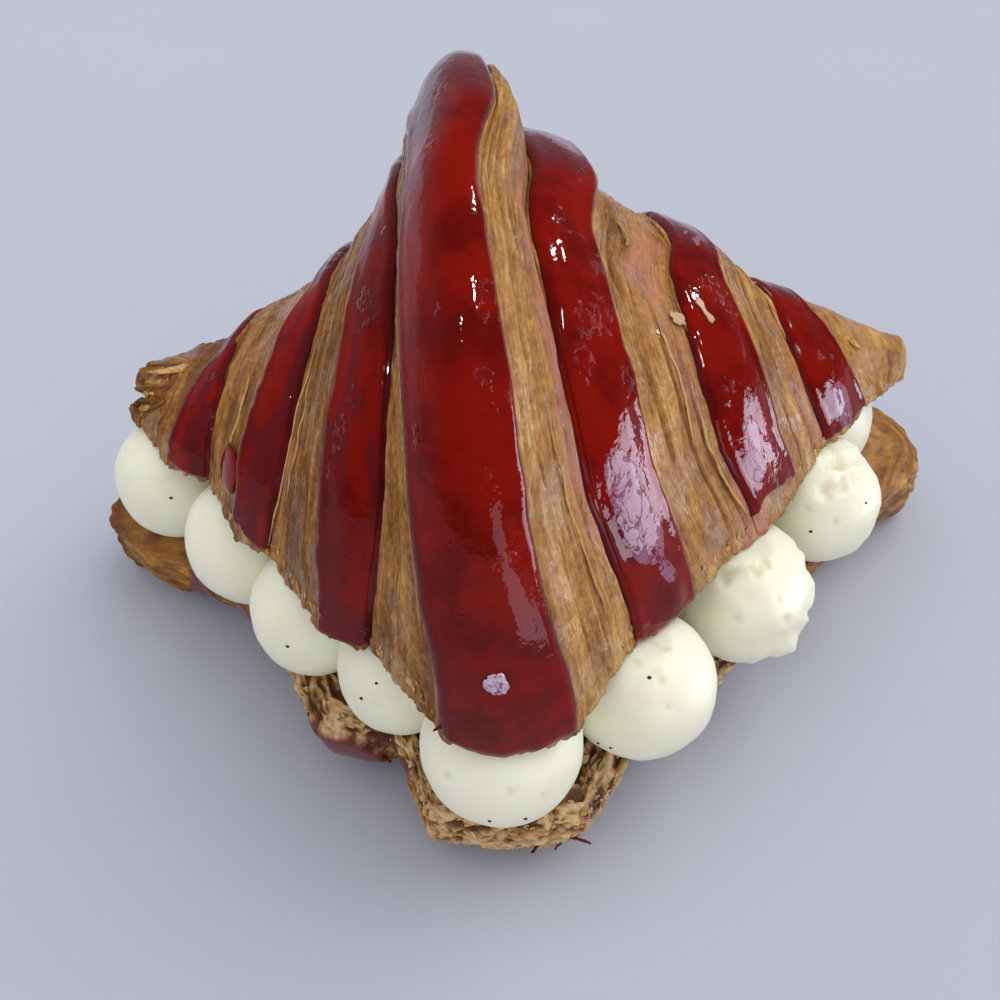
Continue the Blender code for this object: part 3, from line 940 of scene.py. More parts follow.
# Painted lilac reflections on the bands, crackled: band number, shares across and turns at its two ends,
# half width in mm, strength.
PAINTED_REFLECTIONS = (
    (4, 0.46, 0.148, 0.52, 0.082, 3.4, 1.0),
    (4, 0.62, 0.050, 0.66, 0.044, 1.4, 0.8),
    (4, 0.45, 0.570, 0.62, 0.530, 1.8, 0.52),
    (5, 0.48, 0.140, 0.32, 0.090, 2.2, 1.0),
    (5, 0.46, 0.510, 0.60, 0.480, 1.6, 0.52),
    (6, 0.52, 0.095, 0.46, 0.050, 2.4, 0.90),
)
# Clusters of tiny beads that sparkle, in the same terms.
SPARKLES = (
    (3, 0.86, 0.300, 0.85, 0.285, 1.3, 1.0),
    (4, 0.72, 0.300, 0.70, 0.285, 1.9, 1.0),
    (4, 0.42, 0.295, 0.40, 0.280, 1.3, 1.0),
    (4, 0.30, 0.262, 0.32, 0.245, 1.5, 1.0),
    (4, 0.82, 0.235, 0.86, 0.220, 1.0, 1.0),
    (5, 0.55, 0.380, 0.70, 0.365, 1.8, 1.0),
    (5, 0.30, 0.215, 0.62, 0.200, 1.4, 1.0),
    (6, 0.50, 0.230, 0.60, 0.220, 1.2, 1.0),
)


def spots_of(rows, number, share, turn, along, aside):
    """Where the listed spots cover a band: 1 well inside one, 0 outside."""
    cover = np.zeros(share.shape)
    for band, start_share, start_turn, end_share, end_turn, half, strength in rows:
        if band != number:
            continue
        part = np.clip((turn - start_turn) / (end_turn - start_turn), 0.0, 1.0)
        middle = start_share + (end_share - start_share) * part
        long_way = along[-1:] * (turn - (start_turn + (end_turn - start_turn) * part))
        away = np.hypot((share - middle) * aside[:, -1:], long_way)
        cover = np.maximum(cover, strength * fall(0.55 * half, 1.25 * half, away))
    return cover


def rounding(inset):
    """Height of a quarter circle at a distance of 0 to 1 in from its edge."""
    inset = np.clip(inset, 0.0, 1.0)
    return np.sqrt(np.clip(1.0 - (1.0 - inset) ** 2, 0.0, 1.0))


def glaze_band(number, material):
    """Raised coat of glaze along one band, rounded at its edges and lapping over the crust."""
    interval = 2 * number + 1
    seams = top_surface(np.array([interval, interval + 1.0]), np.zeros(2))
    width = np.linalg.norm(seams[1] - seams[0])
    side = np.linspace(-1.0, 1.0, int(width / GLAZE_COLUMN) + 10)
    side = np.sign(side) * np.abs(side) ** 0.8
    share, row_share = np.meshgrid((side + 1.0) / 2.0, evenly(GLAZE_ROWS) ** ROW_POWER)
    seed = 400 + 20 * number
    *ends, scallop = BAND_ENDS[number]
    wave = noise(share * width / 3.6, 0.3, seed=seed)
    wave = wave + 0.45 * noise(share * width / 1.2, 3.3, seed=seed + 1)
    rise = np.interp(share, (0.0, 0.5, 1.0), ends) + scallop * wave
    level = seam_values(interval + share)[3]
    start = (np.maximum(rise, 0.0) / (TOP_HEIGHT * level)) ** (1.0 / TOP_FULLNESS) / math.pi
    turn = start + (1.0 - start) * row_share
    plain = top_surface(interval + share, turn)
    local_width = norm(plain[:, -1] - plain[:, 0])[:, None]
    half_side = np.sign(share - 0.5)
    wander = GLAZE_OVERLAP - 0.7 * ease(*THIN_TURNS, turn)
    wander = wander + 0.30 * noise(row_share * 14.0, half_side * 9.0, seed=seed + 2)
    wander = wander + 0.14 * noise(row_share * 45.0, half_side * 5.0, seed=seed + 3)
    stretch = 1.0 + 2.0 * wander / local_width
    position = interval + 0.5 + (share - 0.5) * stretch
    base = top_surface(position, turn)
    normals = soften(soften(grid_normals(base), 6, 1), 2, 0)
    along, aside = grid_distances(base)
    from_side = np.minimum(aside, aside[:, -1:] - aside)
    curl = rounding(from_side / GLAZE_ROUNDING)
    end_curl = rounding(np.minimum(along, along[-1:] - along) / GLAZE_END_ROUNDING)
    # Where the painted lilac reflections lie; the glaze also gets fine folds there.
    painted_reflection = spots_of(PAINTED_REFLECTIONS, number, share, turn, along, aside)

    def waves(long, wide, number):
        return noise(along / long, aside / wide, seed=seed + number)

    ripple = 0.17 * waves(13.0, 6.0, 4) + 0.07 * waves(4.5, 2.6, 5)
    folds = 1.0 - np.abs(waves(3.1, 1.5, 6)) * 3.0
    ripple = ripple + 0.08 * painted_reflection * np.clip(folds, 0.0, 1.0)
    swell = 0.16 * np.exp(-(((from_side - 1.3) / 0.7) ** 2))
    thick = GLAZE_THICK * (1.0 - 0.35 * ease(*THIN_TURNS, turn))
    height = (thick + ripple + swell) * curl * (0.25 + 0.75 * end_curl)
    outer = base + normals * height[..., None]
    inner = base - normals * GLAZE_DEPTH
    sag = np.minimum(rise, 0.0) * fall(0.0, 5.0, along)
    outer[..., 2] += sag
    inner[..., 2] += sag
    # Painted violet reflection: strong along both edges, near the ridge and at the lower end, some over
    # the whole band, broken by runs of plain red away from the sides.
    sheen, left_width, right_width = BAND_SHEENS[number]
    from_right = aside[:, -1:] - aside
    left, right = fall(0.0, left_width, aside), 0.8 * fall(0.0, right_width, from_right)
    top, bottom = 0.70 * ease(0.40, 0.52, turn), 0.20 * fall(0.0, 2.0, along)
    edge = np.maximum.reduce((left, right, top, bottom, np.full(turn.shape, sheen)))
    runs = noise(aside / 2.2, along / 13.0, seed=seed + 8)
    runs = runs + 0.4 * noise(aside / 1.0, along / 5.0, seed=seed + 9)
    edge = edge - (0.10 + 0.45 * sheen) * ease(0.10, 0.22, runs) * ease(0.6, 1.6, from_side)
    fields = {
        "edge": edge,
        "painted_reflection": painted_reflection,
        "sparkle": spots_of(SPARKLES, number, share, turn, along, aside),
        "along_mm": along,
        "across_mm": aside + BAND_OFFSET * number,
    }
    make_strip("red_band_{}".format(number + 1), outer, inner, 4, material, "glaze", fields)


# Cream -----------------------------------------------------------------------

BALL_AROUND = 104
BALL_UP = 66
# How far the balls swell past their nodes, so that neighbours press together.
BALL_SWELL = np.array((0.50, 0.50, 0.10))
REAR_AROUND = 66
REAR_UP = 42
# Marks on the balls are placed as they are seen from the camera, as shares of the ball's half width
# to the right and down from its middle. Pits also have a size.
PITS = {
    "cream_front": ((0.09, 0.35, 0.055), (-0.67, 0.21, 0.060), (0.51, 0.46, 0.050)),
    "cream_right_1": ((0.13, -0.20, 0.070), (0.22, 0.13, 0.045)),
    "cream_right_2": ((-0.27, 0.33, 0.065), (0.45, 0.38, 0.090), (0.30, 0.05, 0.060)),
    "cream_right_3": ((0.02, 0.40, 0.065), (-0.42, 0.18, 0.055)),
    "cream_left_4": ((-0.30, 0.45, 0.045),),
}
SEEDS = {
    "cream_front": ((-0.125, 0.81), (0.29, 0.78)),
    "cream_left_1": ((0.15, 0.42),),
    "cream_left_3": ((-0.25, 0.50),),
    "cream_left_4": ((-0.29, 0.08), (-0.55, 0.37)),
    "cream_right_1": ((0.0, -0.25), (-0.60, 0.70), (-0.47, 0.76)),
    "cream_right_3": ((0.54, 0.08), (-0.32, 0.56)),
}
# Smeared grooves as lines across a ball, and how rough and torn its surface is.
GROOVES = {
    "cream_right_3": ((0.02, -0.56, 0.66, -0.68), (-0.15, -0.12, 0.52, -0.36)),
    "cream_right_2": ((-0.45, -0.30, 0.10, -0.42),),
}
TORN = {"cream_right_2": 1.0, "cream_right_3": 0.30, "cream_right_1": 0.12}
# Depth from the core's front point to its sides, the bend of its back per mm, and its grid.
CORE_DEPTH = 41.7
CORE_BEND = 0.0054
CORE_COLUMNS, CORE_RINGS = 90, 22


def ball_frame(name):
    """Middle and half sizes of a piped ball, from its node."""
    low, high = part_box(name)
    return np.array((low + high) / 2.0) / MM, np.array((high - low) / 2.0) / MM


def ball_grid(around, up):
    """Directions on a sphere as rings from the top to the bottom, without the poles."""
    tilt = np.linspace(0.0, math.pi, up + 1)[1:-1]
    angle = np.linspace(0.0, 2.0 * math.pi, around, endpoint=False)
    angle, tilt = np.meshgrid(angle, tilt)
    return np.stack(
        (np.cos(angle) * np.sin(tilt), np.sin(angle) * np.sin(tilt), np.cos(tilt)), axis=-1
    )


def as_seen(vectors):
    """Shares of vectors to the right, down and toward the camera."""
    pitch, heading = math.radians(CAMERA_PITCH), math.radians(CAMERA_HEADING)
    right = np.array((math.cos(heading), math.sin(heading), 0.0))
    back = np.array((-math.sin(heading), math.cos(heading), 0.0))
    down = -math.cos(pitch) * back - math.sin(pitch) * np.array((0.0, 0.0, 1.0))
    toward_camera = -math.sin(pitch) * back + math.cos(pitch) * np.array((0.0, 0.0, 1.0))
    return vectors @ right, vectors @ down, vectors @ toward_camera


def line_distance(u, v, line):
    """Distance to a line from (u0, v0) to (u1, v1), and the share along it."""
    u0, v0, u1, v1 = line
    long_u, long_v = u1 - u0, v1 - v0
    share = np.clip(((u - u0) * long_u + (v - v0) * long_v) / (long_u ** 2 + long_v ** 2), 0.0, 1.0)
    return np.hypot(u - u0 - share * long_u, v - v0 - share * long_v), share


def cream_ball(name, around, up, seed, material):
    """One piped ball, pressed flat under the top half. Gives the places of its vanilla seeds."""
    middle, half = ball_frame(name)
    directions = ball_grid(around, up)
    x, y, z = (directions[..., axis] for axis in range(3))
    rise = np.sign(z) * np.abs(z) ** 0.92 * 1.05
    rings = np.stack((x, y, np.clip(rise, -1.0, 1.0)), axis=-1) * (half + BALL_SWELL)
    u, v, w = as_seen(rings / half[0])

    def lumps(level, upright, number):
        return noise(x * level, y * level, z * upright, seed + number)

    lump = 0.20 * lumps(1.6, 1.6, 0) + 0.08 * lumps(4.0, 4.0, 1) + 0.025 * lumps(14.0, 14.0, 2)
    torn = TORN.get(name, 0.0)
    if torn:
        tears = 1.0 - np.abs(lumps(2.6, 3.6, 6)) * 2.2
        crumbs = rough_noise(x * 9.0, y * 9.0, z * 9.0, seed + 7, 2)
        lump = lump + torn * (0.50 * lumps(1.9, 2.8, 5) + 0.05 * tears + 0.05 * crumbs - 0.55)
        bearing = np.arctan2(v, u)
        ragged = noise(bearing * 3.2, 0.5, seed=seed + 9) + 0.6 * noise(bearing * 9.0, 0.5, seed=seed + 10)
        rim = ease(0.72, 0.98, np.hypot(u, v)) * ease(-0.3, 0.5, u + 0.5 * v)
        lump = lump + 0.75 * torn * ragged * rim
    pores = cell_distance(x * 3.6 + seed, y * 3.6, z * 3.6, seed + 3)
    pit = fall(0.04, 0.12, pores) * (lumps(3.0, 3.0, 4) > 0.60)
    for pit_u, pit_v, size in PITS.get(name, ()):
        away = np.hypot(u - pit_u, (v - pit_v) * 0.75) + (w < 0.0)
        pit = np.maximum(pit, fall(0.35 * size, size, away))
    groove = np.zeros(x.shape)
    for line in GROOVES.get(name, ()):
        away, share = line_distance(u, v, line)
        away = away + 0.05 * noise(u * 7.0, v * 7.0, seed=seed + 8) + (w < 0.0)
        groove = np.maximum(groove, fall(0.02, 0.17, away) * (1.0 - 0.5 * share))
    lump = lump - 0.34 * pit - 1.15 * groove
    rings = rings + directions * lump[..., None] + middle
    places, faces = closed_ball(rings)
    near_cut = ease(TOP_CUT - 1.5, TOP_CUT - 0.2, rings[..., 2])
    smear = near_cut * ease(0.35, 0.9, rough_noise(*(np.moveaxis(rings, -1, 0) / 2.2), seed + 6))
    # Painted shade in the pits and grooves; the stain field also tints them brown.
    pit_shade = np.maximum(0.65 * pit, 0.8 * groove)
    stain = np.maximum(0.40 * smear, 0.12 * pit + 0.10 * groove)
    fields = {"pit_shade": np.append(pit_shade, (0.0, 0.0)), "stain": np.append(stain, (0.0, 0.0))}
    make_piece(name + "_piped", places, faces, material, "cream", fields, (name,))
    spots = []
    for seed_u, seed_v in SEEDS.get(name, ()):
        away = np.hypot(u - seed_u, v - seed_v) + (w < 0.0)
        spots.append(rings.reshape(-1, 3)[np.argmin(away)])
    return spots


def cream_core(material):
    """Cream that fills the middle behind the balls, with a softly wavy side."""
    low, high = (np.array(corner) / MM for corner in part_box("cream_core"))
    x = np.linspace(low[0], high[0], CORE_COLUMNS)
    tip_x = SHIFT_X
    slope = np.where(x < tip_x, CORE_DEPTH / (tip_x - low[0]), CORE_DEPTH / (high[0] - tip_x))
    front = low[1] + np.abs(x - tip_x) * slope
    back = high[1] - CORE_BEND * (x - tip_x) ** 2
    outline = np.concatenate((np.stack((x, front), -1), np.stack((x, back), -1)[::-1]))
    centre = np.array((tip_x, (low[1] + high[1]) / 2.0 - 4.0))
    tilt = np.linspace(0.0, math.pi, CORE_RINGS)[1:-1]
    out = np.sin(tilt) ** 0.35
    up = np.clip(np.cos(tilt) * 1.1, -1.0, 1.0)
    reach = outline[None] - centre
    rings = np.empty((len(tilt), len(outline), 3))
    rings[..., :2] = centre + reach * (0.90 + 0.12 * out[:, None, None])
    middle_z, half_z = (low[2] + high[2]) / 2.0, (high[2] - low[2]) / 2.0
    rings[..., 2] = middle_z + up[:, None] * half_z
    wave = 0.3 * noise(rings[..., 0] / 5.0, rings[..., 1] / 5.0, rings[..., 2] / 5.0, seed=61)
    rings[..., :2] += wave[..., None]
    ends = [(*centre, middle_z + half_z), (*centre, middle_z - half_z)]
    places, faces = closed_ball(rings, ends)
    fields = dict.fromkeys(("pit_shade", "stain"), np.zeros(len(places)))
    make_piece("cream_filling", places, faces, material, "cream", fields, ("cream_core",))


# Bottom half -----------------------------------------------------------------

BOTTOM_STATIONS = 450
# Rows of the wall's front and back, and of the face under the cream.
FRONT_ROWS, BACK_ROWS, FACE_ROWS = 40, 18, 74
# Red stripes on the lower half's wall: the positions and heights that they cover.
STRIPES = (
    (1.72, 2.25, 0.6, 11.6),
    (3.10, 3.80, 1.0, 13.0),
    (5.22, 6.22, 0.8, 11.0),
    (5.95, 6.62, 9.4, 12.9),
    (8.75, 9.60, 0.0, 13.0),
    (11.0, 11.9, 0.0, 9.0),
    (12.9, 13.6, 0.0, 7.0),
)


def even_positions(count):
    """Positions whose sections stand evenly apart along the bottom's front edge, and the distance."""
    fine = np.linspace(-PAST_TIP, LAST + PAST_TIP, 3000)
    edge = bottom_surface(fine, np.zeros(len(fine)))
    run = np.cumsum(norm(np.diff(edge, axis=0, prepend=edge[:1])))
    even = np.linspace(0.0, run[-1], count)
    return np.interp(even, run, fine), even


def torn_leaves(run, inward, z, seed):
    """Torn crumb: near 1 along the edges of its leaves, low in the hollows between them."""
    coarse = 1.0 - np.abs(rough_noise(run / 3.6, inward / 1.7, z / 1.9, seed, 2))
    fine = 1.0 - np.abs(rough_noise(run / 1.5, inward / 0.8, z / 0.9, seed + 1, 2))
    return 0.60 * coarse + 0.40 * fine


def red_stripes(position, turn, z, ragged):
    """Where glaze of the bands runs down onto the lower half."""
    red = np.zeros(z.shape)
    for low, high, low_z, high_z in STRIPES:
        inside = ease(low - 0.05, low + 0.05, position + 0.22 * ragged)
        inside = inside * fall(high - 0.05, high + 0.05, position - 0.22 * ragged)
        inside = inside * window(low_z, high_z, 0.3, z + 0.9 * ragged)
        red = np.maximum(red, inside * (turn < 0.5))
    phase = (position - 1.5) / 2.0
    on_band = fall(0.20, 0.26, np.abs(phase - np.round(phase)) + 0.03 * ragged)
    low_back = (turn > 0.5) * fall(8.0, 9.0, z + ragged)
    return np.maximum(red, on_band * low_back * ease(0.3, 1.2, z))


def bottom_grid(stations):
    """Sections of the lower half: the rows of its wall, then those of the face across it."""
    front_rows = 0.5 * evenly(FRONT_ROWS) ** 2.2
    back_rows = 1.0 - 0.5 * np.linspace(1.0, 0.0, BACK_ROWS)[1:] ** 2.2
    turn, position = np.meshgrid(np.concatenate((front_rows, back_rows)), stations)
    wall = bottom_surface(position, turn)
    front, back = wall[:, :1], wall[:, -1:]
    face = front + (back - front) * (evenly(FACE_ROWS)[1:-1] ** 1.7)[None, ::-1, None]
    turn = np.concatenate((turn, np.zeros(face.shape[:2])), axis=1)
    return wall, np.concatenate((wall, face), axis=1), turn


def outward_of(edge, side):
    """Level directions out of an edge of the lower half. The side is 1 in front, -1 at the back."""
    tangent = unit(np.gradient(edge[:, :2], axis=0))
    return side * np.stack((tangent[:, 1], -tangent[:, 0]), axis=-1)


def bottom_half(material):
    """Lower half: browned side walls with red stripes, and an open torn face under the cream.

    Gives its rings, the directions out of its front edge and the positions of its sections."""
    stations, run = even_positions(BOTTOM_STATIONS)
    wall, rings, turn = bottom_grid(stations)
    is_face = np.arange(turn.shape[1])[None, :] >= wall.shape[1]
    run = np.broadcast_to(run[:, None], turn.shape)
    position = np.broadcast_to(stations[:, None], turn.shape)

    x, y, z = (rings[..., axis].copy() for axis in range(3))
    drawn_x = x - SHIFT_X
    tip = np.minimum(1.0, np.abs(drawn_x) / by_side(BOTTOM_REACH, drawn_x))
    edge_z = BOTTOM_CUT - 1.8 * fall(0.45, 0.8, tip)
    depth_in = norm(rings[..., :2] - wall[:, :1, :2])
    depth_back = norm(rings[..., :2] - wall[:, -1:, :2])
    inward = np.minimum(depth_in, depth_back)
    face_z = edge_z + (BOTTOM_CUT - edge_z) * ease(0.0, 5.0, inward)
    z = np.where(is_face, face_z, z * edge_z / BOTTOM_CUT)

    border = 4.6 + 1.2 * rough_noise(x / 6.0, y / 6.0, seed=52)
    border = border + 16.0 * ease(0.50, 0.66, tip) + 40.0 * ease(0.66, 0.84, tip)
    skin = fall(border - 0.6, border + 0.6, z + 1.2 * is_face * inward)
    ragged = rough_noise(run / 2.4, z / 2.4, seed=58)
    red = red_stripes(position, turn, z, ragged) * ~is_face

    leaves = torn_leaves(run, inward, z, 53)
    torn = 1.9 * (leaves - 0.70) + 0.5 * noise(run / 5.0, inward / 4.0, z / 4.0, seed=51)
    slant = z - 0.55 * inward * is_face + 0.32 * run
    slant = slant + 1.3 * noise(run / 8.0, z / 5.0, inward / 5.0, seed=56)
    course = slant / 1.1 + 0.7 * noise(slant / 2.0, run / 30.0, seed=57)
    layer = np.floor(course)
    part = course - layer
    lift = ease(-0.2, 0.8, noise(layer * 3.1, run / 6.0, seed=60))
    step = part ** 1.2 * fall(0.85, 1.0, part) * lift
    layered = 0.62 * step + 0.50 * noise(run / 4.0, z / 2.5, inward / 3.5, seed=61)
    layered = layered + 0.20 * rough_noise(run / 1.8, z / 1.3, inward / 1.7, seed=65)
    layered = layered + 0.26 * noise(slant / 0.6, run / 4.0, inward / 3.0, seed=62)
    layered = layered * (1.0 - 0.45 * is_face)
    relief = torn * (1.0 - skin) + layered * skin
    facet = ease(5.0, 5.3, position) * fall(6.1, 6.4, position) * (z < 12.0)
    relief = relief * (1.0 - red) + (0.45 + 1.0 * facet) * red
    relief = relief * ease(0.0, 2.0, z)

    out_front, out_back = outward_of(wall[:, 0], 1.0), outward_of(wall[:, -1], -1.0)
    nearer_front = (depth_in < depth_back)[..., None]
    out_xy = np.where(nearer_front, out_front[:, None], out_back[:, None])
    sideways = np.where(is_face, fall(0.0, 1.5, inward), 1.0)
    rings = np.stack((x, y, z), axis=-1)
    rings[..., :2] += out_xy * (relief * sideways)[..., None]
    rings[..., 2] += relief * is_face * (0.4 + 0.6 * ease(0.0, 2.0, inward))

    tone = 0.40 + 1.35 * (leaves - 0.66) * (1.0 - skin)
    tone = tone + 0.18 * noise(x / 4.0, y / 4.0, z / 2.0, seed=59)
    streaks = noise(slant / 0.9, run / 7.0, inward / 5.0, seed=63)
    blisters = rough_noise(run / 2.6, z / 1.9, inward / 2.4, seed=64)
    baked = 0.30 * (step - 0.15) + 0.20 * streaks + 0.26 * blisters
    tone = tone + baked * skin * (1.0 - 0.4 * is_face)
    tone = tone - 0.34 * skin * fall(-0.45, 0.25, position) - 0.02 * skin
    # Painted shade in the hollows between the torn leaves and where a baked layer steps down, none on the
    # red stripes.
    gap = fall(0.38, 0.58, leaves) * (1.0 - skin) * 0.8
    gap = gap + 0.45 * skin * ease(0.84, 0.94, part) * lift * (1.0 - 0.6 * is_face)
    gap = gap * (1.0 - red)
    fields = {"tone": tone, "skin": skin, "red": red, "gap": np.clip(gap, 0.0, 0.9)}
    rings[..., 2] = np.maximum(rings[..., 2], 0.0)
    make_piece("bottom_half", *capped_tube(rings), material, "crumb", fields, ("crust_bottom",))
    return rings, out_front, stations


# Small loose pieces ----------------------------------------------------------


SHREDS_PER_MM = 1.6
CRUMB_TRIES = 1300
THREAD_RINGS = 46
VANILLA_SIZE = (0.30, 0.22, 0.22)
# Thickness of the leaves in each heap.
SHRED_THICK, FLAKE_THICK, CRUMB_THICK, CURL_THICK = 0.10, 0.15, 0.14, 0.30
# Steps in turns and in positions that give the directions on the skin.
TURN_STEP, SEAM_STEP = 0.004, 0.02


class Heap:
    """Many small closed bodies that make up one piece."""

    def __init__(self):
        self.places = []
        self.faces = []
        self.total = 0

    def add(self, places, faces):
        self.places.append(np.asarray(places))
        self.faces += [[corner + self.total for corner in face] for face in faces]
        self.total += len(places)

    def finish(self, name, material, slot, field_names=(), tone=0.6, spread=0.25):
        places = np.concatenate(self.places)
        fields = {field: np.zeros(len(places)) for field in field_names}
        if "tone" in fields:
            fields["tone"] = tone + spread * noise(*(places.T / 1.8), seed=91)
        if "along_mm" in fields:
            fields["along_mm"] = places[:, 2]
            fields["across_mm"] = places[:, 0] + places[:, 1]
        make_piece(name, places, self.faces, material, slot, fields)


def on_top(position, turn, height):
    """Place over the top half's skin, with its outward, down-slope and sideways directions."""
    spots = top_surface(
        position + SEAM_STEP * np.array((0.0, 0.0, 0.0, -1.0, 1.0)),
        turn + TURN_STEP * np.array((0.0, -1.0, 1.0, 0.0, 0.0)),
    )
    down = unit(spots[1] - spots[2])
    side = unit(spots[4] - spots[3])
    outward = unit(np.cross(down, side))
    if outward[2] < 0.0:
        outward = -outward
    return spots[0] + outward * height, outward, down, side


def leaf(root, forward, outward, size, curl, seed):
    """Thin curled leaf of pastry as a closed slab."""
    reach, width, thick = size
    forward = unit(np.asarray(forward))
    sideways = unit(np.cross(outward, forward))
    outward = np.cross(forward, sideways)
    along, aside = np.meshgrid(evenly(7), np.linspace(-0.5, 0.5, 5), indexing="ij")
    ragged = 0.30 * noise(along * 4.0, np.sign(aside) * 3.0, seed=seed)
    spread = width * (1.0 - 0.85 * along ** 2 + ragged * (1.0 - along)) * aside
    reach = reach * (along + 0.12 * noise(aside * 5.0, along * 2.0, seed=seed + 1))
    lift = curl * along ** 2 + 0.12 * width * noise(along * 3.0, aside * 3.0, seed=seed + 2)
    grid = root + forward * reach[..., None] + sideways * spread[..., None]
    grid = grid + outward * lift[..., None]
    half = outward * thick / 2.0
    places, faces, _ = slab(grid + half, grid - half, 1)
    return places, faces


def cut_shreds(material):
    """Torn slivers of the open layers that hang over the cream along the front cut."""
    heap = Heap()
    chance = np.random.default_rng(11)
    for interval in range(0, LAST, 2):
        ends = top_surface(np.array([interval, interval + 1.0]), np.zeros(2))
        width = np.linalg.norm(ends[1] - ends[0])
        for _ in range(int(width * SHREDS_PER_MM)):
            position = interval + chance.uniform(0.02, 0.98)
            root, outward, down, side = on_top(position, chance.uniform(0.004, 0.022), 0.05)
            forward = down + side * chance.normal(0.0, 0.28) + outward * chance.uniform(-0.10, 0.12)
            size = (chance.uniform(0.7, 1.9), chance.uniform(0.35, 0.95), SHRED_THICK)
            curl = chance.uniform(-0.25, 0.20)
            heap.add(*leaf(root, forward, outward, size, curl, int(chance.integers(1, 9999))))
    heap.finish("cut_shreds", material, "crust", CRUST_FIELDS, 0.66, 0.22)


# Curled flakes at the left tip and along crevices: position, turn, length, width, curl, sideways
# lean and height over the skin in mm.
TIP_FLAKES = (
    (0.62, 0.450, 6.4, 2.6, 1.6, -1.7, 0.0),
    (0.45, 0.400, 4.2, 2.2, 0.5, -1.5, -0.1),
    (0.34, 0.330, 3.2, 2.2, 0.3, -1.2, -0.2),
    (0.20, 0.215, 2.8, 2.0, 0.2, -0.9, -0.2),
    (0.02, 0.120, 2.2, 1.6, 0.2, -0.9, -0.1),
    (0.10, 0.060, 1.8, 1.3, 0.1, -0.5, 0.0),
    (10.27, 0.475, 4.2, 1.1, 0.7, 0.3, 0.4),
    (10.42, 0.455, 3.0, 0.9, 0.5, -0.2, 0.3),
    (14.30, 0.30, 2.2, 1.0, 0.5, 0.4, 0.2),
)


def curled_flakes(material):
    heap = Heap()
    for number, (position, turn, reach, width, curl, lean, height) in enumerate(TIP_FLAKES):
        root, outward, down, side = on_top(position, turn, height)
        forward = down * 0.6 + side * lean
        heap.add(*leaf(root, forward, outward, (reach, width, FLAKE_THICK), curl, 300 + number))
    heap.finish("curled_flakes", material, "crust", CRUST_FIELDS, 0.66, 0.25)


# Loose threads of the uppermost layer: (position, turn) at their ends, bow in positions, radius.
THREADS = (
    (2.57, 0.330, 2.62, 0.060, 0.05, 0.26),
    (4.24, 0.330, 4.03, 0.012, -0.03, 0.22),
    (4.34, 0.290, 4.22, 0.100, 0.04, 0.18),
    (10.62, 0.330, 10.66, 0.150, 0.05, 0.22),
    (10.82, 0.210, 10.92, 0.020, -0.03, 0.26),
    (8.50, 0.210, 8.62, 0.040, 0.04, 0.18),
)


def loose_threads(material):
    heap = Heap()
    for number, (start, start_turn, end, end_turn, bow, radius) in enumerate(THREADS):
        rings = []
        for share in evenly(THREAD_RINGS):
            position = start + (end - start) * share + bow * math.sin(math.pi * share)
            position += 0.012 * float(noise(share * 9.0, number, seed=75))
            turn = start_turn + (end_turn - start_turn) * share
            wave = float(noise(share * 7.0, number, seed=76))
            place, outward, _, side = on_top(position, turn, 0.30 + 0.18 * wave)
            thick = radius * min(1.0, 5.0 * share + 0.15, 5.0 * (1.0 - share) + 0.15)
            angle = np.linspace(0.0, 2.0 * math.pi, 9)[:-1, None]
            rings.append(place + thick * (np.cos(angle) * side + 0.7 * np.sin(angle) * outward))
        heap.add(*closed_ball(np.array(rings)))
    heap.finish("loose_threads", material, "crust", CRUST_FIELDS, 0.78, 0.10)


def torn_crumb(rings, out_front, stations, material):
    """Small torn leaves that stand out of the lower half's open edge."""
    heap = Heap()
    chance = np.random.default_rng(23)
    for _ in range(CRUMB_TRIES):
        row = int(chance.integers(4, len(stations) - 4))
        position = stations[row]
        if not (4.0 < position < 8.9 or 10.2 < position < 11.0):
            continue
        on_wall = chance.random() < 0.5
        if on_wall:
            column = int(chance.integers(0, 14))
        else:
            column = int(rings.shape[1] - chance.integers(1, 22))
        root = rings[row, column]
        if root[2] < (12.0 if 5.1 < position < 6.4 else 4.5):
            continue
        if on_wall and red_stripes(position, np.zeros(1), root[2:3], 0.0)[0] > 0.1:
            continue
        outward = np.array((*out_front[row], 0.0))
        run = np.cross((0.0, 0.0, 1.0), outward)
        face_out = outward if on_wall else np.array((0.0, 0.0, 1.0))
        forward = run * chance.choice((-1.0, 1.0)) + outward * chance.normal(0.0, 0.25)
        forward = forward + np.array((0.0, 0.0, chance.normal(0.0, 0.22)))
        size = (chance.uniform(0.6, 1.5), chance.uniform(0.6, 1.3), CRUMB_THICK)
        root = root - face_out * 0.18
        heap.add(*leaf(root, forward, face_out, size, chance.uniform(-0.1, 0.30),
                       int(chance.integers(1, 9999))))
    places = np.concatenate(heap.places)
    heap.places = [np.column_stack((places[:, :2], np.maximum(places[:, 2], 0.05)))]
    heap.finish("torn_crumb", material, "crumb", CRUMB_FIELDS, 0.58, 0.30)


# Curls of red glaze: position on the lower half, height, length, width, curl.
RED_CURLS = (
    (7.76, 6.6, 2.2, 0.9, 0.5),
    (7.98, 6.8, 2.9, 1.0, 0.7),
    (7.90, 5.6, 1.5, 0.8, 0.4),
    (6.12, 6.0, 2.6, 1.1, 0.5),
)


